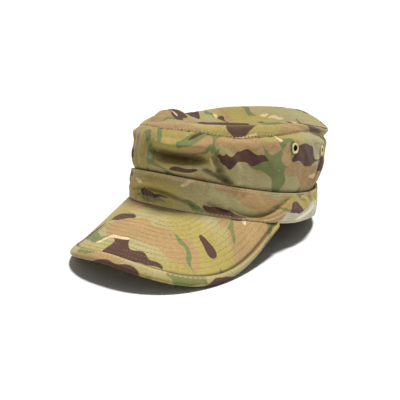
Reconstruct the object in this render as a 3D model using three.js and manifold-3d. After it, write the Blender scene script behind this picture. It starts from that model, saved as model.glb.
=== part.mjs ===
// A soft field cap in kepi form: a low oval drum of cloth on a headband, with a sunk top panel,
// a cloth peak bound round its edge and two vent eyelets on each side.
// It rests by itself on a flat surface, on the rear of its headband and the two sides of its peak.
// Millimetres and degrees. +Z is up, the peak points to -Y, the wearer's left is +X.
import * as THREE from 'three';
import { mergeVertices } from 'three/addons/utils/BufferGeometryUtils.js';
import Module from 'manifold-3d';

// How the cap lies
const LEAN = 9.8;
const SINK = 1.0;

// Cloth
const BAND_THICK = 2.4;
const WALL_THICK = 1.8;
const STRIP_THICK = 1.4;
const PANEL_THICK = 1.8;
const GAP = 0.3;
const TUCK = 8;
const HEM = 0.3;

// How far each piece swells out between its edges. Places on the wall are shares of its lower part,
// up to its fullest level, and of its upper part.
const BAND_SWELL = 1.5;
const STRIP_SWELL = 1.2;
const WALL_SWELL = {
  low: { place: 0.2, out: 0.6 },
  middle: { place: 0.6, out: 1.4 },
  high: { place: 0.55, out: 1.2 },
};
const WALL_LAP = 0.3;

// The five oval levels of the outer cloth, from the head opening up to the edge of the top panel.
// Heights are above the plane of the head opening, before the cap leans back.
const LEVELS = {
  bandBottom: { halfLength: 106, halfWidth: 83, shiftBack: 0, front: 12, side: 2.5, rear: 0 },
  bandTop: { halfLength: 107.5, halfWidth: 80.5, shiftBack: -0.5, front: 40, side: 30, rear: 37 },
  wallFull: { halfLength: 109.5, halfWidth: 82, shiftBack: -1, front: 66, side: 71, rear: 78 },
  stitchLine: { halfLength: 104.5, halfWidth: 77.5, shiftBack: 0, front: 78, side: 87, rear: 95 },
  rim: { halfLength: 98.5, halfWidth: 73.5, shiftBack: 2.5, front: 83.5, side: 93, rear: 103 },
};

// Local lifts and pushes of those levels, in millimetres, each fading out over its span
const WAVES = [
  { level: 'stitchLine', at: 48, span: 40, lift: -2, push: 0 },
  { level: 'stitchLine', at: 124, span: 42, lift: -11, push: 4 },
  { level: 'stitchLine', at: -92, span: 50, lift: -5, push: 0 },
  { level: 'stitchLine', at: -52, span: 36, lift: -5, push: 0 },
  { level: 'stitchLine', at: 64, span: 44, lift: -1.8, push: 0 },
  { level: 'stitchLine', at: 39, span: 20, lift: -1.4, push: 0 },
  { level: 'rim', at: 60, span: 50, lift: 0.5, push: 0 },
  { level: 'rim', at: 122, span: 48, lift: -11, push: 10 },
  { level: 'rim', at: -40, span: 50, lift: -5.5, push: 0 },
  { level: 'rim', at: -92, span: 46, lift: -6.5, push: 0 },
  { level: 'rim', at: -44, span: 26, lift: -3, push: 0 },
  { level: 'rim', at: -122, span: 50, lift: -2.2, push: 0 },
  { level: 'wallFull', at: 122, span: 40, lift: -5, push: 0.5 },
  { level: 'wallFull', at: -52, span: 55, lift: 0, push: -1.5 },
];

// Folds and dents. Each runs in a straight line from one place to another: angle round the cap,
// and height as a share of the piece. push is outwards, and a dent's push is below zero.
const WALL_FOLDS = [
  { fromAt: -4, fromUp: 0.74, toAt: 26, toUp: 0.7, halfWide: 17, push: 3.5 },
  { fromAt: 5, fromUp: 0.38, toAt: 25, toUp: 0.42, halfWide: 11, push: -8 },
  { fromAt: -10, fromUp: 0.18, toAt: 22, toUp: 0.2, halfWide: 9, push: 2.5 },
  { fromAt: 38, fromUp: 0.1, toAt: 39, toUp: 0.4, halfWide: 12, push: -7 },
  { fromAt: 50, fromUp: 0.1, toAt: 47, toUp: 0.6, halfWide: 10, push: 2.5 },
  { fromAt: 120, fromUp: 0.1, toAt: 116, toUp: 0.8, halfWide: 10, push: -3 },
  { fromAt: -34, fromUp: 0.1, toAt: -40, toUp: 0.6, halfWide: 12, push: -2.5 },
  { fromAt: -75, fromUp: 0.2, toAt: -62, toUp: 0.5, halfWide: 14, push: -4 },
  { fromAt: -118, fromUp: 0.1, toAt: -124, toUp: 0.7, halfWide: 12, push: -4 },
  { fromAt: 152, fromUp: 0.3, toAt: 205, toUp: 0.36, halfWide: 13, push: -5 },
];
const BAND_FOLDS = [
  { fromAt: -28, fromUp: 0.3, toAt: -26, toUp: 0.9, halfWide: 5, push: -1.5 },
  { fromAt: -14, fromUp: 0.2, toAt: -13, toUp: 0.8, halfWide: 5, push: -1.5 },
  { fromAt: -3, fromUp: 0.48, toAt: 29, toUp: 0.1, halfWide: 9, push: -1.5 },
  { fromAt: 41, fromUp: 0.2, toAt: 75, toUp: 0.9, halfWide: 7, push: 1.5 },
  { fromAt: 150, fromUp: 0.5, toAt: 185, toUp: 0.4, halfWide: 8, push: -1.5 },
];

// Seams hold the cloth still. Folds fade out between these shares of the height of a piece.
const WALL_QUIET = { lowFrom: 0, lowTo: 0.12, highFrom: 0.82, highTo: 1 };
const BAND_QUIET = { from: 0.6, to: 0.75 };

// The top panel sinks in its middle, and stands up in soft humps inside its edge.
// Places are shares of the rim's half width to the left and of its half length to the front.
const PANEL_SINK = 13;
const PANEL_PUFF = 3;
const PUFF_AT = 0.86;
const PUFF_SPAN = 0.3;
const PANEL_QUIET = 0.9;
const PANEL_TILT = 0.7;
const PANEL_FOLDS = [
  { fromLeft: -0.84, fromFront: 0.1, toLeft: -0.48, toFront: 0.7, halfWide: 26, push: 4.5 },
  { fromLeft: -1, fromFront: 0, toLeft: -0.05, toFront: 0.5, halfWide: 20, push: 2 },
  { fromLeft: -0.25, fromFront: 0.7, toLeft: -0.1, toFront: 0.1, halfWide: 16, push: -3 },
  { fromLeft: 0.1, fromFront: -0.75, toLeft: 0.5, toFront: -0.62, halfWide: 22, push: 3 },
  { fromLeft: -0.5, fromFront: -0.4, toLeft: 0.2, toFront: -0.3, halfWide: 14, push: -2 },
];

// Peak: a sheet that bends round one cylinder, whose straight lines slope down to the front
const PEAK_REACH = 64.5;
const PEAK_THICK = 2.2;
const PEAK_SLOPE = 31;
const PEAK_BEND = 87;
const PEAK_ROOT = 11;
const PEAK_CORNER = 75;
const PEAK_FLARE = 7;
const PEAK_SQUARE = 0.82;
const PEAK_ROUND = 0.68;
const PEAK_END = 0.9;
const PEAK_EASE = 12;
const PEAK_CROWDING = 1.5;

// Binding round the edge of the peak
const BINDING_LEAF = 1.0;
const BINDING_FRONT = 9;
const BINDING_SIDE = 4.5;
const BINDING_EDGE = 1.3;
const BINDING_CORNER = 1.1;

// Vent eyelets, in places on the wall: angle and share of its height
const EYELET_PLACES = [
  { name: 'eyelet_left_front', at: 77, up: 0.76 },
  { name: 'eyelet_left_rear', at: 108, up: 0.72 },
  { name: 'eyelet_right_front', at: -77, up: 0.76 },
  { name: 'eyelet_right_rear', at: -108, up: 0.72 },
];
const EYELET_FLANGE = 4.7;
const EYELET_BARREL = 2.9;
const EYELET_HOLE = 2.2;
const EYELET_PLATE = 0.7;
const EYELET_GAP = 0.6;
const EYELET_BEVEL = { outer: 0.5, inner: 0.4, lip: 0.3 };
const VENT_RADIUS = 3.3;
const VENT_DRILL = 10;

// How finely each piece is cut into facets
const COLUMNS = 80;
const WALL_KNOTS = 7;
const WALL_ROWS = [0, 1, 1.6, 2.1, 2.5, 2.9, 3.3, 3.7, 4.2, 4.8, 5.4, 6, 7]
  .map((knot) => knot / WALL_KNOTS);
const BAND_ROWS = [0, 0.25, 0.5, 0.75, 1];
const STRIP_ROWS = [0, 0.5, 1];
const PANEL_RINGS = 6;
const PEAK_COLUMNS = 38;
const PEAK_ROWS = 6;
const EYELET_SIDES = 12;
const EYELET_SEARCH = 200;

// Steps over which slopes are measured, in degrees, shares of a height and millimetres
const TURN_STEP = 0.5;
const SHARE_STEP = 0.02;
const EDGE_STEP = 0.004;
const PLAN_STEP = 0.1;

// Corners nearer than this are one, and triangles smaller than this are left out
const SAME_CORNER = 1e-4;
const EMPTY_AREA = 1e-7;

const COLOURS = {
  crown_top: 0xa8a06c,
  shoulder_strip: 0xb3a271,
  crown_wall: 0x9c9562,
  headband: 0xa08d60,
  peak: 0xada175,
  peak_binding: 0x8f9058,
  eyelet: 0x9a9157,
};
const CLOTH = { roughness: 0.92, metalness: 0 };
const LACQUER = { roughness: 0.45, metalness: 0.6 };

const radians = THREE.MathUtils.degToRad;
const UP = new THREE.Vector3(0, 0, 1);

// A soft bump: 1 in the middle, 0 at the edge and beyond
function bump(distance, reach) {
  const share = Math.min(Math.abs(distance) / reach, 1);
  return 0.5 + 0.5 * Math.cos(Math.PI * share);
}

// Shortest turn from one angle to another
function turn(from, to) {
  return THREE.MathUtils.euclideanModulo(to - from + 180, 360) - 180;
}

// Mean height of a level
function meanHeight(level) {
  return (level.front + 2 * level.side + level.rear) / 4;
}

// A point on a level at an angle from the front, towards the wearer's left
function levelPoint(name, at) {
  const level = LEVELS[name];
  let lift = 0;
  let push = 0;
  for (const local of WAVES) {
    if (local.level === name) {
      const share = bump(turn(local.at, at), local.span);
      lift += local.lift * share;
      push += local.push * share;
    }
  }
  const angle = radians(at);
  const tip = (level.front - level.rear) / 2;
  const saddle = (level.front - 2 * level.side + level.rear) / 4;
  const wave = tip * Math.cos(angle) + saddle * Math.cos(2 * angle);
  const height = meanHeight(level) + wave + lift;
  const x = (level.halfWidth + push) * Math.sin(angle);
  const y = level.shiftBack - (level.halfLength + push) * Math.cos(angle);
  return new THREE.Vector3(x, y, height);
}

// Level direction straight out of the oval, at an angle
function outward(at) {
  const level = LEVELS.wallFull;
  const angle = radians(at);
  const x = Math.sin(angle) / level.halfWidth;
  const y = -Math.cos(angle) / level.halfLength;
  return new THREE.Vector3(x, y, 0).normalize();
}

// Height of a fold at a place on a piece that is `tall` millimetres high
function foldPush(folds, at, up, tall) {
  const perDegree = radians(1) * (LEVELS.wallFull.halfLength + LEVELS.wallFull.halfWidth) / 2;
  let sum = 0;
  for (const fold of folds) {
    const runAround = (fold.toAt - fold.fromAt) * perDegree;
    const runUp = (fold.toUp - fold.fromUp) * tall;
    const around = turn(fold.fromAt, at) * perDegree;
    const above = (up - fold.fromUp) * tall;
    const length = Math.hypot(runAround, runUp);
    const along = THREE.MathUtils.clamp((around * runAround + above * runUp) / length ** 2, 0, 1);
    const away = Math.hypot(around - along * runAround, above - along * runUp);
    sum += fold.push * bump(away, fold.halfWide);
  }
  return sum;
}

// From the cap's own frame to how it lies: it leans back, and what would reach below the surface
// that it rests on is flattened there
function settle(point) {
  const lean = radians(LEAN);
  const y = point.y * Math.cos(lean) + point.z * Math.sin(lean);
  const raise = LEVELS.bandBottom.halfLength * Math.sin(lean) - SINK;
  const z = point.z * Math.cos(lean) - point.y * Math.sin(lean) + raise;
  return new THREE.Vector3(point.x, y, Math.max(z, 0));
}

// Which way a face given by angle and height looks
function faceNormal(pointAt, at, along) {
  const side = pointAt(at + TURN_STEP, along).sub(pointAt(at - TURN_STEP, along));
  const low = Math.max(along - SHARE_STEP, 0);
  const high = Math.min(along + SHARE_STEP, 1);
  return side.cross(pointAt(at, high).sub(pointAt(at, low))).normalize();
}

// Shoulder strip's outer face, from the stitch line to the edge of the top panel
function stripPoint(at, up) {
  const swell = STRIP_SWELL * Math.sin(Math.PI * up);
  return levelPoint('stitchLine', at).lerp(levelPoint('rim', at), up).addScaledVector(UP, swell);
}

// The crown wall's outer face, from its edge tucked into the headband to its edge under the strip
function wallCurve(at) {
  const out = outward(at);
  const low = levelPoint('bandTop', at);
  const full = levelPoint('wallFull', at);
  const high = levelPoint('stitchLine', at);
  const inside = BAND_THICK + GAP;
  const beneath = STRIP_THICK + GAP;
  const stripOut = faceNormal(stripPoint, at, 0);
  const stripUp = stripPoint(at, SHARE_STEP).sub(high).normalize();
  const swells = WALL_SWELL;
  return new THREE.CatmullRomCurve3([
    low.clone().addScaledVector(out, -inside).addScaledVector(UP, -TUCK),
    low.clone().addScaledVector(out, -inside).addScaledVector(UP, -HEM),
    low.clone().lerp(full, swells.low.place).addScaledVector(out, swells.low.out),
    low.clone().lerp(full, swells.middle.place).addScaledVector(out, swells.middle.out),
    full,
    full.clone().lerp(high, swells.high.place).addScaledVector(out, swells.high.out),
    high.clone().addScaledVector(stripOut, -beneath).addScaledVector(stripUp, -HEM),
    stripPoint(at, WALL_LAP).addScaledVector(stripOut, -beneath),
  ]);
}

// A point on the crown wall's outer face, folds included
function wallPoint(at, along) {
  const point = wallCurve(at).getPoint(along);
  const low = levelPoint('bandTop', at).z;
  const tall = levelPoint('stitchLine', at).z - low;
  const up = (point.z - low) / tall;
  const fromBand = THREE.MathUtils.smoothstep(up, WALL_QUIET.lowFrom, WALL_QUIET.lowTo);
  const toStrip = 1 - THREE.MathUtils.smoothstep(up, WALL_QUIET.highFrom, WALL_QUIET.highTo);
  const push = foldPush(WALL_FOLDS, at, up, tall) * fromBand * toStrip;
  return point.addScaledVector(outward(at), push);
}

// A point on the headband's outer face
function bandPoint(at, up) {
  const low = levelPoint('bandBottom', at);
  const high = levelPoint('bandTop', at);
  const tall = high.z - low.z;
  const swell = BAND_SWELL * Math.sin(Math.PI * up);
  const free = 1 - THREE.MathUtils.smoothstep(up, BAND_QUIET.from, BAND_QUIET.to);
  const push = foldPush(BAND_FOLDS, at, up, tall) * free;
  return low.lerp(high, up).addScaledVector(outward(at), swell + push);
}

// Top panel, from its middle at 0 to its edge at 1
function panelPoint(at, out) {
  const rim = LEVELS.rim;
  const inward = stripPoint(at, 1).sub(stripPoint(at, 1 - SHARE_STEP)).normalize();
  const edge = levelPoint('rim', at).addScaledVector(inward, GAP);
  const middle = new THREE.Vector3(0, rim.shiftBack, meanHeight(rim) - PANEL_SINK);
  const point = middle.clone().lerp(edge, out);
  point.z = THREE.MathUtils.lerp(middle.z, edge.z, out * out);
  const free = 1 - THREE.MathUtils.smoothstep(out, PANEL_QUIET, 1);
  let lift = PANEL_PUFF * bump(out - PUFF_AT, PUFF_SPAN);
  for (const fold of PANEL_FOLDS) {
    const startX = fold.fromLeft * rim.halfWidth;
    const startY = rim.shiftBack - fold.fromFront * rim.halfLength;
    const runX = (fold.toLeft - fold.fromLeft) * rim.halfWidth;
    const runY = (fold.fromFront - fold.toFront) * rim.halfLength;
    const reachX = point.x - startX;
    const reachY = point.y - startY;
    const length = Math.hypot(runX, runY);
    const along = THREE.MathUtils.clamp((reachX * runX + reachY * runY) / length ** 2, 0, 1);
    const away = Math.hypot(reachX - along * runX, reachY - along * runY);
    lift += fold.push * bump(away, fold.halfWide);
  }
  point.z += lift * free;
  return point;
}

// Height over a place in plan of the cylinder that the peak bends round
function bendHeight(x, y) {
  const drop = PEAK_BEND - Math.sqrt(PEAK_BEND ** 2 - x ** 2);
  const fall = (y + LEVELS.bandBottom.halfLength) * Math.tan(radians(PEAK_SLOPE));
  return PEAK_ROOT + fall - drop;
}

// Height of the peak's middle surface: flat under the headband, and eased onto the bend outside it
function peakHeight(x, y) {
  const oval = LEVELS.bandBottom;
  const turned = THREE.MathUtils.radToDeg(Math.atan2(x / oval.halfWidth, -y / oval.halfLength));
  const seam = levelPoint('bandBottom', THREE.MathUtils.clamp(turned, -PEAK_CORNER, PEAK_CORNER));
  const sewn = seam.z - GAP - PEAK_THICK / 2;
  if (Math.hypot(x / oval.halfWidth, y / oval.halfLength) < 1) {
    return sewn;
  }
  const beyond = Math.hypot(x - seam.x, y - seam.y);
  const miss = sewn - bendHeight(seam.x, seam.y);
  return bendHeight(x, y) + miss * (1 - THREE.MathUtils.smoothstep(beyond, 0, PEAK_EASE));
}

// Straight up from the middle surface of the peak
function peakNormal(x, y) {
  const step = PLAN_STEP;
  const slopeX = (peakHeight(x + step, y) - peakHeight(x - step, y)) / (2 * step);
  const slopeY = (peakHeight(x, y + step) - peakHeight(x, y - step)) / (2 * step);
  return new THREE.Vector3(-slopeX, -slopeY, 1).normalize();
}

// A point this high above the middle surface of the peak
function peakPoint(plan, above) {
  const point = new THREE.Vector3(plan.x, plan.y, peakHeight(plan.x, plan.y));
  return point.addScaledVector(peakNormal(plan.x, plan.y), above);
}

// Steps round the peak from -1 at one corner to 1 at the other, close together near the corners
function peakTurn(step) {
  return Math.sign(step) * 90 * (1 - (1 - Math.abs(step)) ** 2);
}

// The peak's finished edge in plan. turned is 0 at the front and 90 at the wearer's left corner.
function peakEdge(turned) {
  const angle = radians(turned);
  const corner = radians(PEAK_CORNER);
  const cornerX = LEVELS.bandBottom.halfWidth * Math.sin(corner);
  const cornerY = -LEVELS.bandBottom.halfLength * Math.cos(corner);
  const sine = Math.sin(angle);
  const cosine = Math.max(Math.cos(angle), 0);
  const wide = cornerX + PEAK_FLARE * cosine * Math.abs(sine);
  const reach = LEVELS.bandBottom.halfLength + PEAK_REACH + cornerY;
  const x = Math.sign(sine) * Math.abs(sine) ** PEAK_SQUARE * wide;
  const y = cornerY - reach * cosine ** PEAK_ROUND;
  return new THREE.Vector2(x, y);
}

// Angle round the head opening at which the peak is sewn in, for a turn along its edge
function peakSeamAngle(turned) {
  const sine = Math.sin(radians(turned));
  return PEAK_CORNER * Math.sign(sine) * Math.abs(sine) ** PEAK_SQUARE;
}

// Inwards from the edge, measured on the sloping sheet
function peakInset(step, distance) {
  const edge = peakEdge(peakTurn(step));
  const ahead = peakEdge(peakTurn(step + EDGE_STEP));
  const along = ahead.sub(peakEdge(peakTurn(step - EDGE_STEP))).normalize();
  const inward = new THREE.Vector2(-along.y, along.x);
  const here = peakHeight(edge.x, edge.y);
  const slope = peakHeight(edge.x + inward.x, edge.y + inward.y) - here;
  return edge.addScaledVector(inward, distance / Math.hypot(1, slope));
}

// Triangles of a grid of points that goes round on itself both ways
function torus(grid) {
  const across = grid.length;
  const around = grid[0].length;
  const triangles = [];
  for (let i = 0; i < across; i += 1) {
    for (let j = 0; j < around; j += 1) {
      const a = grid[i][j];
      const b = grid[(i + 1) % across][j];
      const c = grid[(i + 1) % across][(j + 1) % around];
      const d = grid[i][(j + 1) % around];
      triangles.push(a, b, c, a, c, d);
    }
  }
  return triangles;
}

// Triangles of a strip of points that is closed round its section and capped at both ends
function capped(sections) {
  const last = sections.length - 1;
  const triangles = [];
  const sides = sections[0].length;
  for (let i = 0; i < last; i += 1) {
    for (let j = 0; j < sides; j += 1) {
      const a = sections[i][j];
      const b = sections[i + 1][j];
      const c = sections[i + 1][(j + 1) % sides];
      const d = sections[i][(j + 1) % sides];
      triangles.push(a, c, b, a, d, c);
    }
  }
  return triangles;
}

// A geometry from corners three by three, with equal corners shared and empty triangles left out
function solid(corners) {
  const kept = [];
  for (let i = 0; i < corners.length; i += 3) {
    const [a, b, c] = corners.slice(i, i + 3);
    const area = b.clone().sub(a).cross(c.clone().sub(a)).length();
    if (area > EMPTY_AREA) {
      kept.push(a, b, c);
    }
  }
  const geometry = new THREE.BufferGeometry().setFromPoints(kept);
  return mergeVertices(geometry, SAME_CORNER);
}

// A ring of cloth: an outer face given by a function of angle and height, and a thickness inside it.
// rows are the heights at which it is cut, from 0 at its lower edge to 1 at its upper edge.
function clothRing(pointAt, rows, thick) {
  const grid = [];
  for (let i = 0; i < COLUMNS; i += 1) {
    const at = (360 * i) / COLUMNS;
    const outer = [];
    const inner = [];
    for (const along of rows) {
      const point = pointAt(at, along);
      const normal = faceNormal(pointAt, at, along);
      outer.push(settle(point));
      inner.push(settle(point.clone().addScaledVector(normal, -thick)));
    }
    grid.push([...outer, ...inner.reverse()]);
  }
  return solid(torus(grid));
}

// The top panel: a sheet from rings of points, whose edge is as thick as its middle
function crownTop() {
  const upper = [];
  const lower = [];
  for (let ring = 0; ring <= PANEL_RINGS; ring += 1) {
    const out = 1 - ring / PANEL_RINGS;
    const top = [];
    const bottom = [];
    for (let i = 0; i < COLUMNS; i += 1) {
      const at = (360 * i) / COLUMNS;
      const point = panelPoint(at, out);
      const edgeShare = THREE.MathUtils.smoothstep(out, PANEL_TILT, 1);
      const through = UP.clone().lerp(faceNormal(stripPoint, at, 1), edgeShare).normalize();
      top.push(settle(point));
      bottom.push(settle(point.clone().addScaledVector(through, -PANEL_THICK)));
    }
    upper.push(top);
    lower.push(bottom);
  }
  const sheets = [...lower.reverse(), ...upper];
  const triangles = [];
  for (let i = 0; i < sheets.length; i += 1) {
    const here = sheets[i];
    const next = sheets[(i + 1) % sheets.length];
    for (let j = 0; j < COLUMNS; j += 1) {
      const k = (j + 1) % COLUMNS;
      triangles.push(here[j], here[k], next[k], here[j], next[k], next[j]);
    }
  }
  return solid(triangles);
}

// The peak's board: a closed sheet from under the headband's lower edge to the fold of the binding
function peakBoard() {
  const half = PEAK_THICK / 2;
  const sections = [];
  for (let i = 0; i <= PEAK_COLUMNS; i += 1) {
    const step = THREE.MathUtils.lerp(-PEAK_END, PEAK_END, i / PEAK_COLUMNS);
    const at = peakSeamAngle(peakTurn(step));
    const seam = levelPoint('bandBottom', at).addScaledVector(outward(at), -BAND_THICK);
    const root = new THREE.Vector2(seam.x, seam.y);
    const edge = peakInset(step, BINDING_EDGE + GAP);
    const top = [];
    const bottom = [];
    for (let j = 0; j <= PEAK_ROWS; j += 1) {
      const plan = root.clone().lerp(edge, (j / PEAK_ROWS) ** PEAK_CROWDING);
      top.push(settle(peakPoint(plan, half)));
      bottom.push(settle(peakPoint(plan, -half)));
    }
    sections.push([...top, ...bottom.reverse()]);
  }
  const triangles = capped(sections);
  const sides = sections[0].length;
  for (let j = 0; j < PEAK_ROWS; j += 1) {
    const [first, last] = [sections[0], sections[PEAK_COLUMNS]];
    const [k, m] = [sides - 1 - j, sides - 2 - j];
    triangles.push(first[j], first[m], first[j + 1], first[j], first[k], first[m]);
    triangles.push(last[j], last[j + 1], last[m], last[j], last[m], last[k]);
  }
  return solid(triangles);
}

// The binding: a folded tape, U-shaped in section, round the edge of the board
function peakBinding() {
  const inner = PEAK_THICK / 2 + GAP;
  const outer = inner + BINDING_LEAF;
  const corner = BINDING_CORNER;
  const sections = [];
  for (let i = 0; i <= PEAK_COLUMNS; i += 1) {
    const step = THREE.MathUtils.lerp(-PEAK_END, PEAK_END, i / PEAK_COLUMNS);
    const front = Math.cos(radians(peakTurn(step)));
    const wide = THREE.MathUtils.lerp(BINDING_SIDE, BINDING_FRONT, front);
    const profile = [
      [wide, outer], [corner, outer], [0, outer - corner], [0, corner - outer], [corner, -outer],
      [wide, -outer], [wide, -inner], [BINDING_EDGE, -inner], [BINDING_EDGE, inner], [wide, inner],
    ];
    sections.push(profile.map(([inset, above]) => settle(peakPoint(peakInset(step, inset), above))));
  }
  const triangles = capped(sections);
  // Each end of the U is closed by four flat quads
  const quads = [[0, 1, 8, 9], [1, 2, 3, 8], [3, 4, 7, 8], [4, 5, 6, 7]];
  const first = sections[0];
  const last = sections[PEAK_COLUMNS];
  for (const [a, b, c, d] of quads) {
    triangles.push(first[a], first[c], first[b], first[a], first[d], first[c]);
    triangles.push(last[a], last[b], last[c], last[a], last[c], last[d]);
  }
  return solid(triangles);
}

// Where an eyelet sits: a point on the wall's outer face as it lies, and the way out of it
function eyeletSeat(place) {
  let along = 0;
  let best = Infinity;
  const low = levelPoint('bandTop', place.at).z;
  const high = levelPoint('stitchLine', place.at).z;
  const wanted = THREE.MathUtils.lerp(low, high, place.up);
  for (let i = 0; i <= EYELET_SEARCH; i += 1) {
    const share = i / EYELET_SEARCH;
    const miss = Math.abs(wallPoint(place.at, share).z - wanted);
    if (miss < best) {
      best = miss;
      along = share;
    }
  }
  const seated = (at, share) => settle(wallPoint(at, share));
  return { point: seated(place.at, along), normal: faceNormal(seated, place.at, along) };
}

// Turns a shape made along +Y so that it stands on a seat
function placeOnSeat(geometry, seat) {
  const turnTo = new THREE.Quaternion().setFromUnitVectors(new THREE.Vector3(0, 1, 0), seat.normal);
  geometry.applyQuaternion(turnTo);
  geometry.translate(seat.point.x, seat.point.y, seat.point.z);
  return geometry;
}

// An eyelet: a rolled ring through the cloth, with a flange on each side of it
function eyelet(seat) {
  const face = EYELET_GAP;
  const back = -WALL_THICK - EYELET_GAP;
  const bevel = EYELET_BEVEL;
  const profile = [
    [EYELET_HOLE, back - EYELET_PLATE], [EYELET_FLANGE, back - EYELET_PLATE], [EYELET_FLANGE, back],
    [EYELET_BARREL, back], [EYELET_BARREL, face], [EYELET_FLANGE, face],
    [EYELET_FLANGE - bevel.outer, face + EYELET_PLATE], [EYELET_HOLE + bevel.inner, face + EYELET_PLATE],
    [EYELET_HOLE, face + bevel.lip], [EYELET_HOLE, back - EYELET_PLATE],
  ];
  const points = profile.map(([radius, height]) => new THREE.Vector2(radius, height));
  const ring = new THREE.LatheGeometry(points, EYELET_SIDES);
  ring.deleteAttribute('normal');
  ring.deleteAttribute('uv');
  return placeOnSeat(mergeVertices(ring, SAME_CORNER), seat);
}

const wasm = await Module();
wasm.setup();

// A geometry as a solid that can be cut, and back again
function toManifold(geometry) {
  const plain = geometry.clone();
  for (const name of Object.keys(plain.attributes)) {
    if (name !== 'position') {
      plain.deleteAttribute(name);
    }
  }
  const merged = mergeVertices(plain, SAME_CORNER);
  const vertProperties = new Float32Array(merged.attributes.position.array);
  const triVerts = new Uint32Array(merged.index.array);
  return new wasm.Manifold(new wasm.Mesh({ numProp: 3, vertProperties, triVerts }));
}

function fromManifold(body) {
  const mesh = body.getMesh();
  const geometry = new THREE.BufferGeometry();
  geometry.setAttribute('position', new THREE.BufferAttribute(mesh.vertProperties, 3));
  geometry.setIndex(new THREE.BufferAttribute(mesh.triVerts, 1));
  return geometry;
}

// The crown wall with its four vent holes
function crownWall(seats) {
  let body = toManifold(clothRing(wallPoint, WALL_ROWS, WALL_THICK));
  for (const seat of seats) {
    const drill = new THREE.CylinderGeometry(VENT_RADIUS, VENT_RADIUS, VENT_DRILL, EYELET_SIDES);
    body = body.subtract(toManifold(placeOnSeat(drill, seat)));
  }
  return fromManifold(body);
}

const seats = EYELET_PLACES.map(eyeletSeat);
const shapes = {
  crown_top: crownTop(),
  shoulder_strip: clothRing(stripPoint, STRIP_ROWS, STRIP_THICK),
  crown_wall: crownWall(seats),
  headband: clothRing(bandPoint, BAND_ROWS, BAND_THICK),
  peak: peakBoard(),
  peak_binding: peakBinding(),
};
EYELET_PLACES.forEach((place, index) => {
  shapes[place.name] = eyelet(seats[index]);
});

// The origin is under the middle of the whole cap's outline
const box = new THREE.Box3();
for (const geometry of Object.values(shapes)) {
  geometry.computeBoundingBox();
  box.union(geometry.boundingBox);
}
const middle = box.getCenter(new THREE.Vector3());

const cap = new THREE.Group();
for (const [name, geometry] of Object.entries(shapes)) {
  geometry.translate(-middle.x, -middle.y, -box.min.z);
  const metal = name.startsWith('eyelet');
  const color = metal ? COLOURS.eyelet : COLOURS[name];
  const material = new THREE.MeshStandardMaterial({ color, ...(metal ? LACQUER : CLOTH) });
  const mesh = new THREE.Mesh(geometry, material);
  mesh.name = name;
  cap.add(mesh);
}

export default cap;
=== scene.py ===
import math

import bpy
import numpy as np
from mathutils import Matrix, Vector


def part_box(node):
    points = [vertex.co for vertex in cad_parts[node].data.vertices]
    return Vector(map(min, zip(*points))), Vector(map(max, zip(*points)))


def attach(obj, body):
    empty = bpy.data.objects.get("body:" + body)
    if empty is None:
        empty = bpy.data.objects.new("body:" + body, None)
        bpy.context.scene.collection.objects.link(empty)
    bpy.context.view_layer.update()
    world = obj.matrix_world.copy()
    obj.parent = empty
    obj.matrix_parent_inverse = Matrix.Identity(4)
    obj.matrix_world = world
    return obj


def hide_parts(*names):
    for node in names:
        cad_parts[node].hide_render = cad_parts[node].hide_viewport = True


# A soft field cap of printed ripstop cloth, lying on a pale floor.
# Sizes are in millimetres and degrees until a piece is laid out. MM turns them into metres.
MM = 0.001
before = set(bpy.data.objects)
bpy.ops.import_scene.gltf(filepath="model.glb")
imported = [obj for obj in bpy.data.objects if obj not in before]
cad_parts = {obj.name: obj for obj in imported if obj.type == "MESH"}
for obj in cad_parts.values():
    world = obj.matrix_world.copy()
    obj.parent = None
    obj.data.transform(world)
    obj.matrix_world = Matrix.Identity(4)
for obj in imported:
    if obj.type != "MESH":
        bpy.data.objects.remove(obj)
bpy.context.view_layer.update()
bpy.ops.object.select_all(action="DESELECT")

# How the cap lies: how far it leans back, and how much of its lowest edge the floor flattens
LEAN = 9.8
SINK = 1.0

# Thickness of the cloth, and how the pieces tuck into each other. HEM is how far past a seam the
# wall begins to bend. WALL_LAP is the share of the strip's height that the wall runs on beneath it.
BAND_THICK = 2.4
WALL_THICK = 1.8
STRIP_THICK = 1.0
PANEL_THICK = 1.8
SEAM_GAP = 0.3
TUCK = 8.0
HEM = 0.3
WALL_UNDER = 0.95
WALL_LAP = 0.3

# Swell of the cloth between its seams, flare of the band's upper edge, and the strip's lower edge,
# which its stitches press in
BAND_SWELL = 1.5
BAND_FLARE = 0.6
FLARE_SPAN = 3.0
STRIP_SWELL = 1.2
STRIP_PRESS = 0.65
STRIP_PRESS_SPAN = 3.0

# Bulges of the wall between two levels: share of the way up, and how far it stands out there
WALL_BULGES = dict(low=(0.2, 0.1), middle=(0.6, 1.4), high=(0.55, 1.2))

# The seam that closes each ring of cloth at the rear: its dent and half width, how much of the dent
# the strip has, the distance of the stitches on each side, and how strongly painted shade darkens the dent
BACK_DENT = 0.9
BACK_SPAN = 2.6
BACK_STRIP = 0.6
BACK_ROW = 3.2
SEAM_PAINTED_SHADE = 9.0

# The five oval levels of the cap, from the head opening up to the edge of the top panel
LEVELS = {
    "band_bottom": dict(half_length=106, half_width=83, shift_back=0, front=12, side=2.5, rear=0),
    "band_top": dict(half_length=107.5, half_width=80.5, shift_back=-0.5, front=40, side=30, rear=37),
    "wall_full": dict(half_length=109.5, half_width=82, shift_back=-1, front=66, side=71, rear=78),
    "stitch_line": dict(half_length=104.5, half_width=77.5, shift_back=0, front=78, side=87, rear=95),
    "rim": dict(half_length=98.5, half_width=73.5, shift_back=2.5, front=83.5, side=93, rear=103),
}

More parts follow.
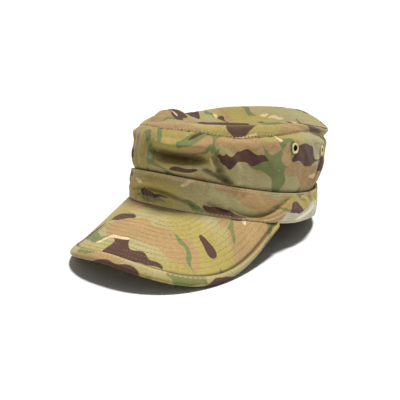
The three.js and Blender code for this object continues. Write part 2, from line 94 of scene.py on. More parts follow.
# Local lifts and pushes of the levels, each fading out over its span
WAVES = [
    dict(level="band_bottom", at=108, span=34, lift=3.6, push=0),
    dict(level="stitch_line", at=48, span=40, lift=-2, push=0),
    dict(level="stitch_line", at=124, span=42, lift=-11, push=4),
    dict(level="stitch_line", at=-92, span=50, lift=-5, push=0),
    dict(level="stitch_line", at=-52, span=36, lift=-5, push=0),
    dict(level="stitch_line", at=64, span=44, lift=-1.8, push=0),
    dict(level="stitch_line", at=39, span=20, lift=-1.4, push=0),
    dict(level="rim", at=60, span=50, lift=0.5, push=0),
    dict(level="rim", at=122, span=48, lift=-11, push=10),
    dict(level="rim", at=-40, span=50, lift=-5.5, push=0),
    dict(level="rim", at=-92, span=46, lift=-6.5, push=0),
    dict(level="rim", at=-44, span=26, lift=-3, push=0),
    dict(level="rim", at=-122, span=50, lift=-2.2, push=0),
    dict(level="wall_full", at=122, span=40, lift=-5, push=0.5),
    dict(level="wall_full", at=-52, span=55, lift=0, push=-1.5),
    dict(level="wall_full", at=-48, span=45, lift=-5, push=-0.6),
]

# Folds follow a curve through three places. A place is (angle round the cap, share of the height).
# push is outwards. left and right are the half widths on the two sides of the curve, seen along it
# from outside, so on a fold that runs towards the wearer's left, left is the upper side.
# ease is how slowly a fold grows from its ends.
WALL_FOLDS = [
    dict(start=(96, 0.84), middle=(118, 0.84), end=(142, 0.84), push=1.3, left=9, right=12),
    dict(start=(-84, 0.8), middle=(-60, 0.84), end=(-36, 0.82), push=2.8, left=8, right=14),
    dict(start=(-5, 0.7), middle=(12, 0.68), end=(31, 0.78), push=4.4, left=8, right=10),
    dict(start=(-10, 0.5), middle=(11, 0.37), end=(29, 0.48), push=-13.5, left=13, right=3.2, ease=0.75),
    dict(start=(-14, 0.33), middle=(8, 0.24), end=(28, 0.31), push=4, left=4, right=9, ease=0.75),
    dict(start=(28.5, 0.66), middle=(29.5, 0.48), end=(30, 0.3), push=2.6, left=3, right=3),
    dict(start=(25, 0.28), middle=(31, 0.22), end=(36, 0.12), push=-5.5, left=3, right=3),
    dict(start=(31, 0.62), middle=(34, 0.44), end=(37, 0.26), push=-8, left=5, right=6),
    dict(start=(33, 0.3), middle=(38, 0.16), end=(42, 0), push=-9.5, left=7, right=6),
    dict(start=(46, 0), middle=(44, 0.3), end=(42, 0.66), push=2.4, left=7, right=6),
    dict(start=(56, 0.08), middle=(53, 0.4), end=(51, 0.78), push=-1.5, left=8, right=8),
    dict(start=(62, 0.12), middle=(67, 0.35), end=(72, 0.6), push=0.9, left=8, right=8),
    dict(start=(86, 0.05), middle=(87, 0.35), end=(85, 0.6), push=-1.1, left=8, right=7),
    dict(start=(96, 0.02), middle=(98, 0.3), end=(101, 0.62), push=2.4, left=4, right=4),
    dict(start=(103, 0.06), middle=(106, 0.35), end=(114, 0.6), push=-3.4, left=4, right=3.5),
    dict(start=(112, 0.1), middle=(113, 0.45), end=(117, 0.85), push=1.5, left=4, right=4),
    dict(start=(120, 0.2), middle=(119, 0.5), end=(114, 0.93), push=-2.4, left=4, right=3),
    dict(start=(127, 0.95), middle=(124, 0.6), end=(126, 0.25), push=1.6, left=4, right=5),
    dict(start=(-12, 0.02), middle=(-13, 0.35), end=(-11, 0.72), push=-1.2, left=5, right=5),
    dict(start=(-18, 0.05), middle=(-19, 0.4), end=(-20, 0.8), push=0.8, left=5, right=5),
    dict(start=(-24, 0.02), middle=(-25, 0.35), end=(-27, 0.75), push=-1.5, left=6, right=6),
    dict(start=(-33, 0.05), middle=(-35, 0.4), end=(-37, 0.75), push=-2.2, left=5, right=5),
    dict(start=(-52, 0.1), middle=(-60, 0.4), end=(-72, 0.66), push=-3.4, left=8, right=6),
    dict(start=(-102, 0.38), middle=(-88, 0.46), end=(-70, 0.26), push=-4, left=10, right=3.5),
    dict(start=(-101, 0.16), middle=(-90, 0.24), end=(-78, 0.12), push=1.8, left=3, right=7),
    dict(start=(-116, 0.05), middle=(-120, 0.4), end=(-127, 0.78), push=-3.2, left=7, right=7),
    dict(start=(-152, 0.62), middle=(-143, 0.46), end=(-134, 0.22), push=-2.4, left=7, right=6),
    dict(start=(150, 0.38), middle=(178, 0.26), end=(207, 0.36), push=-6, left=12, right=3.5),
    dict(start=(148, 0.17), middle=(178, 0.11), end=(210, 0.17), push=2.2, left=3.5, right=6),
    dict(start=(162, 0.66), middle=(178, 0.68), end=(194, 0.62), push=2.2, left=8, right=8),
    dict(start=(134, 0.08), middle=(137, 0.4), end=(141, 0.78), push=-2.2, left=6, right=6),
]
BAND_FOLDS = [
    dict(start=(82, 0.06), middle=(92, 0.2), end=(106, 0.46), push=1.6, left=2.5, right=4),
    dict(start=(-28, 0.36), middle=(0, 0.46), end=(25, 0.14), push=-3.4, left=6, right=2),
    dict(start=(-27, 0.68), middle=(-6, 0.74), end=(14, 0.68), push=1.1, left=8, right=8),
    dict(start=(-22.5, 0.34), middle=(-22, 0.2), end=(-22.5, 0.04), push=-3, left=1.8, right=1.8),
    dict(start=(-18, 0.34), middle=(-17.6, 0.2), end=(-17.5, 0.04), push=1.8, left=3, right=3),
    dict(start=(-12.5, 0.36), middle=(-12.5, 0.2), end=(-13, 0.04), push=-3, left=1.8, right=1.8),
    dict(start=(-8.5, 0.32), middle=(-8.8, 0.2), end=(-9, 0.04), push=-2.1, left=1.8, right=1.8),
    dict(start=(-2, 0.32), middle=(-2.5, 0.18), end=(-3, 0.04), push=1.5, left=5, right=5),
    dict(start=(7, 0.28), middle=(7.5, 0.16), end=(8, 0.04), push=-1.2, left=2, right=2),
    dict(start=(15, 0.24), middle=(15.5, 0.14), end=(16, 0.04), push=-1, left=2, right=2),
    dict(start=(28, 0.42), middle=(35, 0.3), end=(42, 0.22), push=-3.6, left=7, right=3),
    dict(start=(40, 0.34), middle=(60, 0.2), end=(79, 0.9), push=-4, left=10, right=2),
    dict(start=(42, 0.12), middle=(62, 0.04), end=(82, 0.66), push=1.6, left=2.4, right=7),
    dict(start=(50, 0.9), middle=(48, 0.72), end=(46, 0.5), push=-0.8, left=4, right=4),
    dict(start=(88, 0.95), middle=(98, 0.85), end=(100, 0.4), push=-1.5, left=2.5, right=2.5),
    dict(start=(84, 0.84), middle=(93, 0.76), end=(95, 0.4), push=0.8, left=2.5, right=2.5),
    dict(start=(104, 0.9), middle=(108, 0.6), end=(104, 0.2), push=-1.4, left=3, right=3),
    dict(start=(120, 0.25), middle=(135, 0.5), end=(150, 0.4), push=-1.6, left=6, right=4),
    dict(start=(150, 0.56), middle=(170, 0.4), end=(192, 0.5), push=-1.8, left=7, right=5),
    dict(start=(-165, 0.3), middle=(-150, 0.5), end=(-134, 0.36), push=-1.6, left=6, right=4),
    dict(start=(-118, 0.6), middle=(-98, 0.36), end=(-76, 0.5), push=-1.8, left=7, right=3),
    dict(start=(-66, 0.3), middle=(-52, 0.5), end=(-38, 0.4), push=-1.6, left=6, right=4),
]
STRIP_FOLDS = [
    dict(start=(92, 0.45), middle=(118, 0.5), end=(142, 0.45), push=0.7, left=5.5, right=5.5),
    dict(start=(46, -0.1), middle=(44, 0.5), end=(43, 1.1), push=-0.8, left=2.5, right=2.5),
    dict(start=(3, 0.1), middle=(14, 0.5), end=(20, 0.95), push=-0.5, left=3, right=3),
    dict(start=(70, 0.9), middle=(80, 0.5), end=(88, 0.3), push=-0.6, left=3, right=3),
    dict(start=(100, 0.2), middle=(110, 0.5), end=(118, 0.9), push=-0.9, left=3, right=3),
    dict(start=(-30, 0.1), middle=(-36, 0.5), end=(-38, 0.95), push=-0.7, left=4, right=4),
    dict(start=(-100, 0.2), middle=(-110, 0.5), end=(-124, 0.8), push=-0.8, left=4, right=4),
    dict(start=(170, 0.2), middle=(182, 0.5), end=(198, 0.8), push=-0.7, left=4, right=4),
]
FOLD_EASE = 0.4
# Heights that turn shares into millimetres
WALL_TALL = 48.0
BAND_TALL = 31.0
STRIP_TALL = 9.0

# Fades of the relief near the seams, as shares of the height or of the way out: gone at the first,
# whole at the second
WALL_QUIET = dict(low=(0.0, 0.1), high=(1.0, 0.84))
WALL_SEEN = dict(low=(-0.02, 0.03), high=(1.0, 0.96))
BAND_QUIET = dict(low=(0.0, 0.06), high=(1.0, 0.8))
STRIP_QUIET = dict(low=(0.0, 0.1), high=(1.0, 0.9))
PEAK_QUIET = dict(low=(0.12, 0.3), high=(1.0, 0.93))
PANEL_QUIET = (1.0, 0.9)
PANEL_SEWN = (1.0, 0.985)

# Upper edge of the band's bleached corner: angles and shares of the height. Its front end is cut
# off between two angles, and its edge is uneven.
PALE_TOP = ([68, 71, 75, 86, 91, 101, 112, 124], [0.0, 0.05, 0.38, 0.3, 0.36, 0.62, 0.6, 0.0])
PALE_FRONT = (68, 69)
PALE_UNEVEN = dict(share=0.03, cell=5, seed=51)
PALE_SOFT = 0.02

# Smooth random relief of the cloth in millimetres: its height, the size of its cells along and up
# the cloth, how far they slant along for each millimetre up, and its seed
WALL_DRAPE = [
    dict(height=0.5, along=11, up=19, slant=0, seed=3),
    dict(height=0.3, along=5, up=13, slant=1, seed=4),
]
BAND_DRAPE = [
    dict(height=0.3, along=9, up=14, slant=0, seed=13),
    dict(height=0.22, along=4, up=9, slant=1, seed=14),
]
STRIP_DRAPE = [dict(height=0.22, along=7, up=8, slant=0, seed=23)]
PANEL_DRAPE = [
    dict(height=0.5, along=17, up=13, slant=0, seed=33),
    dict(height=0.25, along=7, up=9, slant=1, seed=34),
]
PEAK_DRAPE = [
    dict(height=0.22, along=13, up=40, slant=-0.5, seed=43),
    dict(height=0.12, along=9, up=9, slant=0, seed=44),
]
# Creases of the wall run where the first relief is near nothing, in places that the second gives
CREASE_DEPTH = 0.5
CREASE_WIDTH = 0.22
CREASE_LINES = [dict(height=1, along=23, up=15, slant=-1, seed=5)]
CREASE_PLACES = [dict(height=1, along=40, up=30, slant=0, seed=9)]
CREASE_STARTS = (-0.1, 0.5)

# Puckers where stitches draw the cloth in: height and reach from the seam in millimetres, and seed
WALL_PUCKERS = [dict(height=0.28, reach=6, seed=6), dict(height=0.28, reach=6, seed=8)]
BAND_PUCKERS = [dict(height=0.22, reach=5, seed=16), dict(height=0.2, reach=5, seed=18)]
STRIP_PUCKERS = [dict(height=0.2, reach=4, seed=26), dict(height=0.16, reach=4, seed=28)]
PANEL_PUCKERS = dict(height=0.25, reach=5, cell=4, seed=36)
PUCKER_WIDE = 3.2
PUCKER_NARROW = 1.9

# Top panel: its middle is sunk, and a ring of it near the rim is puffed, more at some angles.
# PUFF_AT and PUFF_SPAN are shares of the way out. The places of its folds are millimetres to the
# wearer's left and to the front of the rim's middle.
PANEL_RADIUS = 85.0
PANEL_SINK = 13.0
PANEL_PUFF = 3.0
PUFF_AT = 0.86
PUFF_SPAN = 0.3
PUFF_WAVES = [dict(at=-48, span=50, push=5.0), dict(at=178, span=50, push=1.5)]
PANEL_FOLDS = [
    dict(start=(-84, 2), middle=(-40, 20), end=(-2, 50), push=3.4, left=34, right=13),
    dict(start=(-40, 84), middle=(-8, 70), end=(40, 66), push=-2.5, left=8, right=4),
    dict(start=(5, -74), middle=(22, -68), end=(38, -58), push=3, left=20, right=20),
    dict(start=(-38, -40), middle=(-10, -30), end=(18, -28), push=-2.4, left=12, right=10),
    dict(start=(-62, -20), middle=(-40, -6), end=(-22, -10), push=-1.8, left=7, right=5),
    dict(start=(62, 24), middle=(44, 12), end=(24, 14), push=-2, left=6, right=8),
    dict(start=(52, -52), middle=(40, -40), end=(20, -34), push=-1.6, left=6, right=6),
    dict(start=(-30, -82), middle=(-22, -62), end=(-24, -40), push=-1.8, left=6, right=7),
    dict(start=(20, 80), middle=(22, 58), end=(14, 36), push=1.6, left=8, right=8),
]

# Peak: a stiff sheet bent round one cylinder, whose straight lines slope down to the front.
# Its sides stand out past its corners by PEAK_FLARE, and PEAK_SQUARE and PEAK_ROUND are powers
# that shape its edge. PEAK_END is the share of the edge that its cloth runs along, PEAK_EASE is
# how far from the band the bend is reached, and PEAK_CROWDING crowds its rows towards its root.
PEAK_REACH = 64.5
PEAK_THICK = 2.2
PEAK_SLOPE = 31.0
PEAK_BEND = 87.0
PEAK_ROOT = 11.0
PEAK_CORNER = 72.5
PEAK_FLARE = 7.0
PEAK_SQUARE = 0.82
PEAK_ROUND = 0.68
PEAK_END = 0.93
PEAK_EASE = 12.0
PEAK_CROWDING = 1.5
# Binding: its thickness, its width at the front and at the corners, how far inside the edge the
# peak's cloth ends, the share of its section that goes round the fold, and swell of its faces
BINDING_LEAF = 1.0
BINDING_FRONT = 9.0
BINDING_SIDE = 4.5
BINDING_EDGE = 1.3
BINDING_ROUND = 0.3
BINDING_PILLOW = 0.25
# Shade on the peak beside the binding: its distance from the inner edge, and its spread
SHADOW_ASIDE = 0.4
SHADOW_SPAN = 1.1

# Stitched rows of the peak: distances from its edge, the share of the edge that they run along, how
# finely they are traced, how far outside the headband's oval they end, and how many places a run
# of stitches needs more of
ROW_SPACING = 4.6
FIRST_ROW = 13.6
LAST_ROW = 62.0
ROW_END = 0.95
ROW_STEPS = 254
ROW_DEPTH = 90.0
ROW_DEPTH_STEPS = 121
ROW_EDGE_STEPS = 240
ROW_CLEAR = 1.03
SHORT_RUN = 3

# Stitches: their spacing along a row, and the size of one, in millimetres
STITCHES = {
    "Crown_seam_stitches": dict(pitch=3.2, length=2.3, width=0.75, high=0.55),
    "Band_top_stitches": dict(pitch=3.8, length=2.6, width=0.75, high=0.6),
    "Band_seam_stitches": dict(pitch=3.8, length=2.6, width=0.7, high=0.6),
    "Back_seam_stitches": dict(pitch=3.4, length=2.4, width=0.5, high=0.45),
    "Peak_stitches": dict(pitch=3.4, length=2.3, width=0.5, high=0.4),
    "Binding_stitches": dict(pitch=4.0, length=2.8, width=0.8, high=0.6),
}
# The sides of a stitch, how thin its ends are, and how far its middle is sunk, as a share of its
# height
STITCH_SIDES = 6
STITCH_TIP = 0.4
STITCH_SINK = 0.25
# Distances of the seams' stitches from the edge of their piece
CROWN_ROW = 0.8
BAND_TOP_ROW = 2.4
BAND_SEAM_ROW = 1.8
BINDING_ROW = 1.6

# Vent eyelets: angle, share of the wall's height, and the node of the part
EYELETS = [
    (77, 0.76, "eyelet_left_front"),
    (108, 0.72, "eyelet_left_rear"),
    (-77, 0.76, "eyelet_right_front"),
    (-108, 0.72, "eyelet_right_rear"),
]
# Section of an eyelet, as (radius, height): its flange inside the cloth, its barrel, and its lip
EYELET_SECTION = [
    (2.5, -2.3), (4.6, -2.3), (4.7, -2.0), (4.4, -1.7), (3.0, -1.5), (3.0, 0.9), (4.2, 0.8),
    (4.7, 1.0), (4.78, 1.4), (4.4, 1.85), (3.75, 2.05), (3.1, 1.9), (2.7, 1.4), (2.7, 0.6),
]
EYELET_SIDES = 32
EYELET_LIFT = 0.6
# Faces of an eyelet nearer its axis than BORE_RADIUS and below BORE_TOP get painted shade
BORE_RADIUS = 3.2
BORE_TOP = 1.2
# The vent in the wall, the dent round each eyelet, and the calm cloth round it
VENT_REACH = 3.7
VENT_DEPTH = 6.0
EYELET_DENT = 0.5
DENT_REACH = 8.0
CALM_REACH = 9.0
# Way round the wall for each degree, at the eyelets
MM_PER_DEGREE = 1.7

# How finely the cloth is laid out
FOLD_STEPS = 16
RING_COLUMNS = 432
WALL_ROWS = 60
BAND_ROWS = 34
STRIP_ROWS = 14
PANEL_CELLS = 120
PEAK_COLUMNS = 200
PEAK_ROWS = 90
BINDING_ROWS = 24
BACK_STEPS = 40
EDGE_STEPS = 400
# Rows of the wall's and the band's grid between which the rear seam is stitched
BACK_ON_WALL = (6, WALL_ROWS - 8)
BACK_ON_BAND = (2, BAND_ROWS - 1)
# Random relief: the size of its grid of values, and how far up the grid it starts
NOISE_CELLS = 64
NOISE_SHIFT = 20
# Small steps over which a slope is measured, and a distance greater than any other
SMALL_TURN = 0.5
SMALL_SHARE = 0.02
FAR = 1e9

# Edges of the cloth: merging distance, fade of the hem's wear and painted highlight, how far the
# hems are rounded, and the angles that count as edges
MERGE = 0.01
HEM_FADE = 1.4
HEM_SOFT = 0.35
BAND_SOFT = 0.8
STRIP_SOFT = 0.4
PANEL_SOFT = 0.5
HEM_ANGLE = 70
SMOOTH_ANGLE = 75
RING_ANGLE = 50

# Depth in millimetres at which a fold is darkened the most, by painted shade and soil
WALL_DEEP = 9
BAND_DEEP = 5
STRIP_DEEP = 5
PANEL_DEEP = 12

# The photo's camera, in the cap's own place: turn and height of the view in degrees, distance and
# offsets in millimetres, and focal length in pixels of a picture 400 pixels wide
PICTURE = 400
SENSOR = 36.0
CAMERA = dict(turn=35.13, raised=17.0, away=657.83, focal=675.81, aside=-24.0, up=26.68)

# The light and the floor. TOP_LIGHT has its turn from the view, its height and spread in degrees.
# AMBIENT is how bright the room is for all but the camera. The floor is FLOOR_SIZE metres wide.
TOP_LIGHT = dict(turn=112, raised=80, strength=4.4, spread=12, colour=(1, 0.985, 0.95))
AMBIENT = 0.2
FLOOR_SIZE = 40
FLOOR_GAP = 0.2


def bump(distance, reach):
    """1 in the middle, 0 at the edge and beyond"""
    return 0.5 + 0.5 * np.cos(np.pi * np.minimum(np.abs(distance) / reach, 1))


def turned(start, at):
    """Shortest turn from one angle to another"""
    return (at - start + 180) % 360 - 180


def smooth_share(value, zero, one):
    """0 at the value zero, 1 at the value one, and soft in between"""
    share = np.clip((value - zero) / (one - zero), 0, 1)
    return share * share * (3 - 2 * share)


def unit(vectors):
    return vectors / np.linalg.norm(vectors, axis=-1, keepdims=True)


def mean_height(level):
    return (level["front"] + 2 * level["side"] + level["rear"]) / 4


def level_point(name, at):
    """Points of a level at angles from the front, towards the wearer's left"""
    level = LEVELS[name]
    at = np.asarray(at, float)
    lift = np.zeros_like(at)
    push = np.zeros_like(at)
    for wave in WAVES:
        if wave["level"] == name:
            share = bump(turned(wave["at"], at), wave["span"])
            lift += wave["lift"] * share
            push += wave["push"] * share
    angle = np.radians(at)
    tip = (level["front"] - level["rear"]) / 2
    saddle = (level["front"] - 2 * level["side"] + level["rear"]) / 4
    height = mean_height(level) + tip * np.cos(angle) + saddle * np.cos(2 * angle) + lift
    x = (level["half_width"] + push) * np.sin(angle)
    y = level["shift_back"] - (level["half_length"] + push) * np.cos(angle)
    return np.stack([x, y, height], -1)


def outward(at):
    """Level directions straight out of the oval"""
    level = LEVELS["wall_full"]
    angle = np.radians(at)
    x = np.sin(angle) / level["half_width"]
    y = -np.cos(angle) / level["half_length"]
    return unit(np.stack([x, y, np.zeros_like(x)], -1))


def settle(points):
    """From the cap's own frame to how it lies: it leans back, and the surface flattens its edge"""
    lean = math.radians(LEAN)
    y = points[..., 1] * math.cos(lean) + points[..., 2] * math.sin(lean)
    z = points[..., 2] * math.cos(lean) - points[..., 1] * math.sin(lean)
    z = z + LEVELS["band_bottom"]["half_length"] * math.sin(lean) - SINK
    return np.stack([points[..., 0], y, np.maximum(z, 0)], -1)


def strip_point(at, up):
    """The shoulder strip's outer face, from the stitch line to the edge of the top panel"""
    low = level_point("stitch_line", at)
    high = level_point("rim", at)
    point = low + (high - low) * np.asarray(up, float)[..., None]
    point[..., 2] += STRIP_SWELL * np.sin(np.pi * np.asarray(up, float))
    return point


# The scene's y starts at the middle of the cap's box: the strip's rearmost point gives the shift
strip_back = settle(strip_point(np.full(3, 180.0), np.array([0, 0.5, 1])))[:, 1].max()
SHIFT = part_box("shoulder_strip")[1].y / MM - strip_back


def placed(points):
    """Settled points, in the frame of the scene, still in millimetres"""
    lying = settle(points)
    lying[..., 1] += SHIFT
    return lying


def through(knots, share):
    """A smooth curve through the knots of every column, at a share of its way"""
    last = len(knots) - 1
    k = min(int(share * last), last - 1)
    w = share * last - k
    p1 = knots[k]
    p2 = knots[k + 1]
    p0 = knots[k - 1] if k > 0 else 2 * p1 - p2
    p3 = knots[k + 2] if k + 2 <= last else 2 * p2 - p1
    steps = [np.linalg.norm(b - a, axis=-1, keepdims=True) for a, b in ((p0, p1), (p1, p2), (p2, p3))]
    d0, d1, d2 = [np.maximum(np.sqrt(step), 1e-3) for step in steps]
    t1 = ((p1 - p0) / d0 - (p2 - p0) / (d0 + d1) + (p2 - p1) / d1) * d1
    t2 = ((p2 - p1) / d1 - (p3 - p1) / (d1 + d2) + (p3 - p2) / d2) * d1
    return p1 + w * (t1 + w * (3 * (p2 - p1) - 2 * t1 - t2 + w * (2 * (p1 - p2) + t1 + t2)))


def fold_relief(folds, x, y):
    """Sum of the folds at places (x, y) in millimetres on a flat piece. Fold places are (x, y) too."""
    total = np.zeros(np.broadcast(x, y).shape)
    steps = np.linspace(0, 1, FOLD_STEPS + 1)
    for fold in folds:
        a, b, c = [np.array(fold[key], float) for key in ("start", "middle", "end")]
        b = 2 * b - (a + c) / 2
        weights = np.stack([(1 - steps) ** 2, 2 * steps * (1 - steps), steps**2], -1)
        path = weights @ np.stack([a, b, c])
        best = np.full(total.shape, FAR)
        value = np.zeros(total.shape)
        for number, (place, ahead) in enumerate(zip(path[:-1], path[1:])):
            rx, ry = ahead - place
            dx = x - place[0]
            dy = y - place[1]
            along = np.clip((dx * rx + dy * ry) / (rx**2 + ry**2), 0, 1)
            away = np.hypot(dx - along * rx, dy - along * ry)
            reach = np.where(rx * dy - ry * dx > 0, fold["left"], fold["right"])
            step = (number + along) / FOLD_STEPS
            here = (4 * step * (1 - step)) ** fold.get("ease", FOLD_EASE) * bump(away, reach)
            nearer = away < best
            value = np.where(nearer, here, value)
            best = np.where(nearer, away, best)
        total += fold["push"] * value
    return total


def ring_folds(folds, at, up, tall):
    """Folds of a ring of cloth, whose places are (angle, share of the height)"""
    level = LEVELS["wall_full"]
    per_degree = math.radians(1) * (level["half_length"] + level["half_width"]) / 2
    total = np.zeros(np.broadcast(at, up).shape)
    for fold in folds:
        centre = fold["middle"][0]
        flat = dict(fold)
        for key in ("start", "middle", "end"):
            flat[key] = (turned(centre, fold[key][0]) * per_degree, fold[key][1] * tall)
        total += fold_relief([flat], turned(centre, at) * per_degree, up * tall)
    return total


def soft_noise(x, y, cell_x, cell_y, seed, width=None):
    """Smooth random relief from -1 to 1. With a width it joins up with itself along x."""
    rng = np.random.default_rng(seed)
    columns = NOISE_CELLS if width is None else max(int(round(width / cell_x)), 2)
    grid = rng.uniform(-1, 1, (NOISE_CELLS, columns))
    gx = x / (cell_x if width is None else width / columns)
    gy = y / cell_y + NOISE_SHIFT
    ix = np.floor(gx).astype(int)
    iy = np.floor(gy).astype(int)
    fx = smooth_share(gx - ix, 0, 1)
    fy = smooth_share(gy - iy, 0, 1)
    a = grid[iy % NOISE_CELLS, ix % columns]
    b = grid[iy % NOISE_CELLS, (ix + 1) % columns]
    c = grid[(iy + 1) % NOISE_CELLS, ix % columns]
    d = grid[(iy + 1) % NOISE_CELLS, (ix + 1) % columns]
    return (a * (1 - fx) + b * fx) * (1 - fy) + (c * (1 - fx) + d * fx) * fy


def drape(layers, x, y, width=None):
    """Sum of the layers of a drape table"""
    total = 0
    for layer in layers:
        along = x + layer["slant"] * y
        waves = soft_noise(along, y, layer["along"], layer["up"], layer["seed"], width)
        total = total + layer["height"] * waves
    return total


def quiet(up, limits):
    """How free the cloth is between its seams"""
    low = smooth_share(up, *limits["low"])
    high = smooth_share(up, *limits["high"])
    return low * high


def gathers(around, from_seam, height, reach, seed):
    """Small puckers where a line of stitches draws the cloth in"""
    width = around.max() - around.min()
    waves = soft_noise(around, 0 * around, PUCKER_WIDE, 1, seed, width)
    waves += 0.5 * soft_noise(around, 0 * around, PUCKER_NARROW, 1, seed + 1, width)
    return height * waves * np.exp(-((from_seam / reach) ** 2))


def both_gathers(puckers, around, from_low, tall):
    """Puckers of a ring of cloth along its lower and its upper seam"""
    low, high = puckers
    return gathers(around, from_low, **low) + gathers(around, tall - from_low, **high)


def back_seam(at):
    """Dent of the seam that closes a ring of cloth at the rear"""
    way = turned(180, at) * math.radians(1) * LEVELS["wall_full"]["half_width"]
    return -BACK_DENT * bump(way, BACK_SPAN)


def ring_grid(rows):
    """Angles and shares of a ring of cloth, which is closed at the rear, and the way round it"""
    at, share = np.meshgrid(np.linspace(-180, 180, RING_COLUMNS + 1), rows)
    around = at * math.radians(1) * LEVELS["wall_full"]["half_length"]
    return at, share, around


def wall_creases(around, tall, width):
    """Fine creases pressed into the wall"""
    line = np.abs(drape(CREASE_LINES, around, tall, width))
    places = smooth_share(drape(CREASE_PLACES, around, tall, width), *CREASE_STARTS)
    return -CREASE_DEPTH * np.maximum(0, CREASE_WIDTH - line) / CREASE_WIDTH * places


def near_eyelets(at, up, reach):
    """1 at each eyelet of the wall, 0 beyond its reach"""
    return sum(
        bump(np.hypot(turned(angle, at) * MM_PER_DEGREE, (up - share) * WALL_TALL), reach)
        for angle, share, _ in EYELETS
    )


def bulged(low, high, out, share, bulge):
    """A place between two levels, at a share of the way up, that stands out by the bulge"""
    return low + (high - low) * share + bulge * out


def wall_points():
    """Outer face of the crown wall, and how far its folds push it"""
    at, _, around = ring_grid(np.linspace(0, 1, WALL_ROWS + 1))
    angles = at[0]
    out = outward(angles)
    rise = np.array([0.0, 0.0, 1.0])
    low, full, high = [level_point(name, angles) for name in ("band_top", "wall_full", "stitch_line")]
    inside = BAND_THICK + SEAM_GAP
    seam = 0 * angles
    side = strip_point(angles + SMALL_TURN, seam) - strip_point(angles - SMALL_TURN, seam)
    strip_up = unit(strip_point(angles, seam + SMALL_SHARE) - high)
    strip_out = unit(np.cross(side, strip_up))
    knots = [
        low - inside * out - TUCK * rise,
        low - inside * out - HEM * rise,
        bulged(low, full, out, *WALL_BULGES["low"]),
        bulged(low, full, out, *WALL_BULGES["middle"]),
        full,
        bulged(full, high, out, *WALL_BULGES["high"]),
        high - WALL_UNDER * strip_out - HEM * strip_up,
        strip_point(angles, seam + WALL_LAP) - WALL_UNDER * strip_out,
    ]
    points = np.stack([through(knots, share) for share in np.linspace(0, 1, WALL_ROWS + 1)])
    up = (points[..., 2] - low[:, 2]) / (high[:, 2] - low[:, 2])
    free = quiet(up, WALL_QUIET)
    folds = ring_folds(WALL_FOLDS, at, up, WALL_TALL) * free
    width = around.max() - around.min()
    tall = up * WALL_TALL
    fine = (drape(WALL_DRAPE, around, tall, width) + wall_creases(around, tall, width)) * free
    fine += both_gathers(WALL_PUCKERS, around, tall, WALL_TALL) * quiet(up, WALL_SEEN)
    calm = np.clip(near_eyelets(at, up, CALM_REACH), 0, 1)
    dent = EYELET_DENT * near_eyelets(at, up, DENT_REACH)
    push = (folds + fine) * (1 - calm) - dent + back_seam(at)
    # The second value sets the painted shade and soil: the folds, and the rear seam's dent made deeper for
    # painted shade
    return points + outward(at) * push[..., None], folds + back_seam(at) * SEAM_PAINTED_SHADE


def band_points():
    """Outer face of the headband, and how far its folds push it"""
    at, up, around = ring_grid(np.linspace(0, 1, BAND_ROWS + 1))
    low = level_point("band_bottom", at)
    high = level_point("band_top", at)
    free = quiet(up, BAND_QUIET)
    folds = ring_folds(BAND_FOLDS, at, up, BAND_TALL) * free
    width = around.max() - around.min()
    tall = up * BAND_TALL
    swell = BAND_SWELL * np.sin(np.pi * up)
    flare = BAND_FLARE * np.exp(-(((1 - up) * BAND_TALL / FLARE_SPAN) ** 2))
    fine = drape(BAND_DRAPE, around, tall, width) * free
    fine += both_gathers(BAND_PUCKERS, around, tall, BAND_TALL)
    push = swell + flare + folds + fine + back_seam(at)
    points = low + (high - low) * up[..., None]
    # The second value sets the painted shade and soil: the folds, and the rear seam's dent made deeper for
    # painted shade
    return points + outward(at) * push[..., None], folds + back_seam(at) * SEAM_PAINTED_SHADE


def band_pale():
    """The bleached lower corner of the band, behind the end of the peak: 1 inside it and 0 outside"""
    at, up, around = ring_grid(np.linspace(0, 1, BAND_ROWS + 1))
    top = np.interp(at, PALE_TOP[0], PALE_TOP[1])
    cell = PALE_UNEVEN["cell"]
    edge = PALE_UNEVEN["share"] * soft_noise(around, up * BAND_TALL, cell, cell, PALE_UNEVEN["seed"])
    return smooth_share(top + edge - up, -PALE_SOFT, PALE_SOFT) * smooth_share(at, *PALE_FRONT)


def strip_points():
    """Outer face of the shoulder strip, and how far its folds push it"""
    at, up, around = ring_grid(np.linspace(0, 1, STRIP_ROWS + 1))
    points = strip_point(at, up)
    side = np.gradient(points, axis=1)
    rise = np.gradient(points, axis=0)
    out = unit(np.cross(side, rise))
    out[:, 0] = out[:, -1] = unit(out[:, 0] + out[:, -1])
    free = quiet(up, STRIP_QUIET)
    folds = ring_folds(STRIP_FOLDS, at, up, STRIP_TALL) * free
    width = around.max() - around.min()
    tall = up * STRIP_TALL
    fine = drape(STRIP_DRAPE, around, tall, width) * free
    fine += both_gathers(STRIP_PUCKERS, around, tall, STRIP_TALL)
    fine += BACK_STRIP * back_seam(at) - STRIP_PRESS * bump(tall, STRIP_PRESS_SPAN)
    return points + out * (folds + fine)[..., None], folds


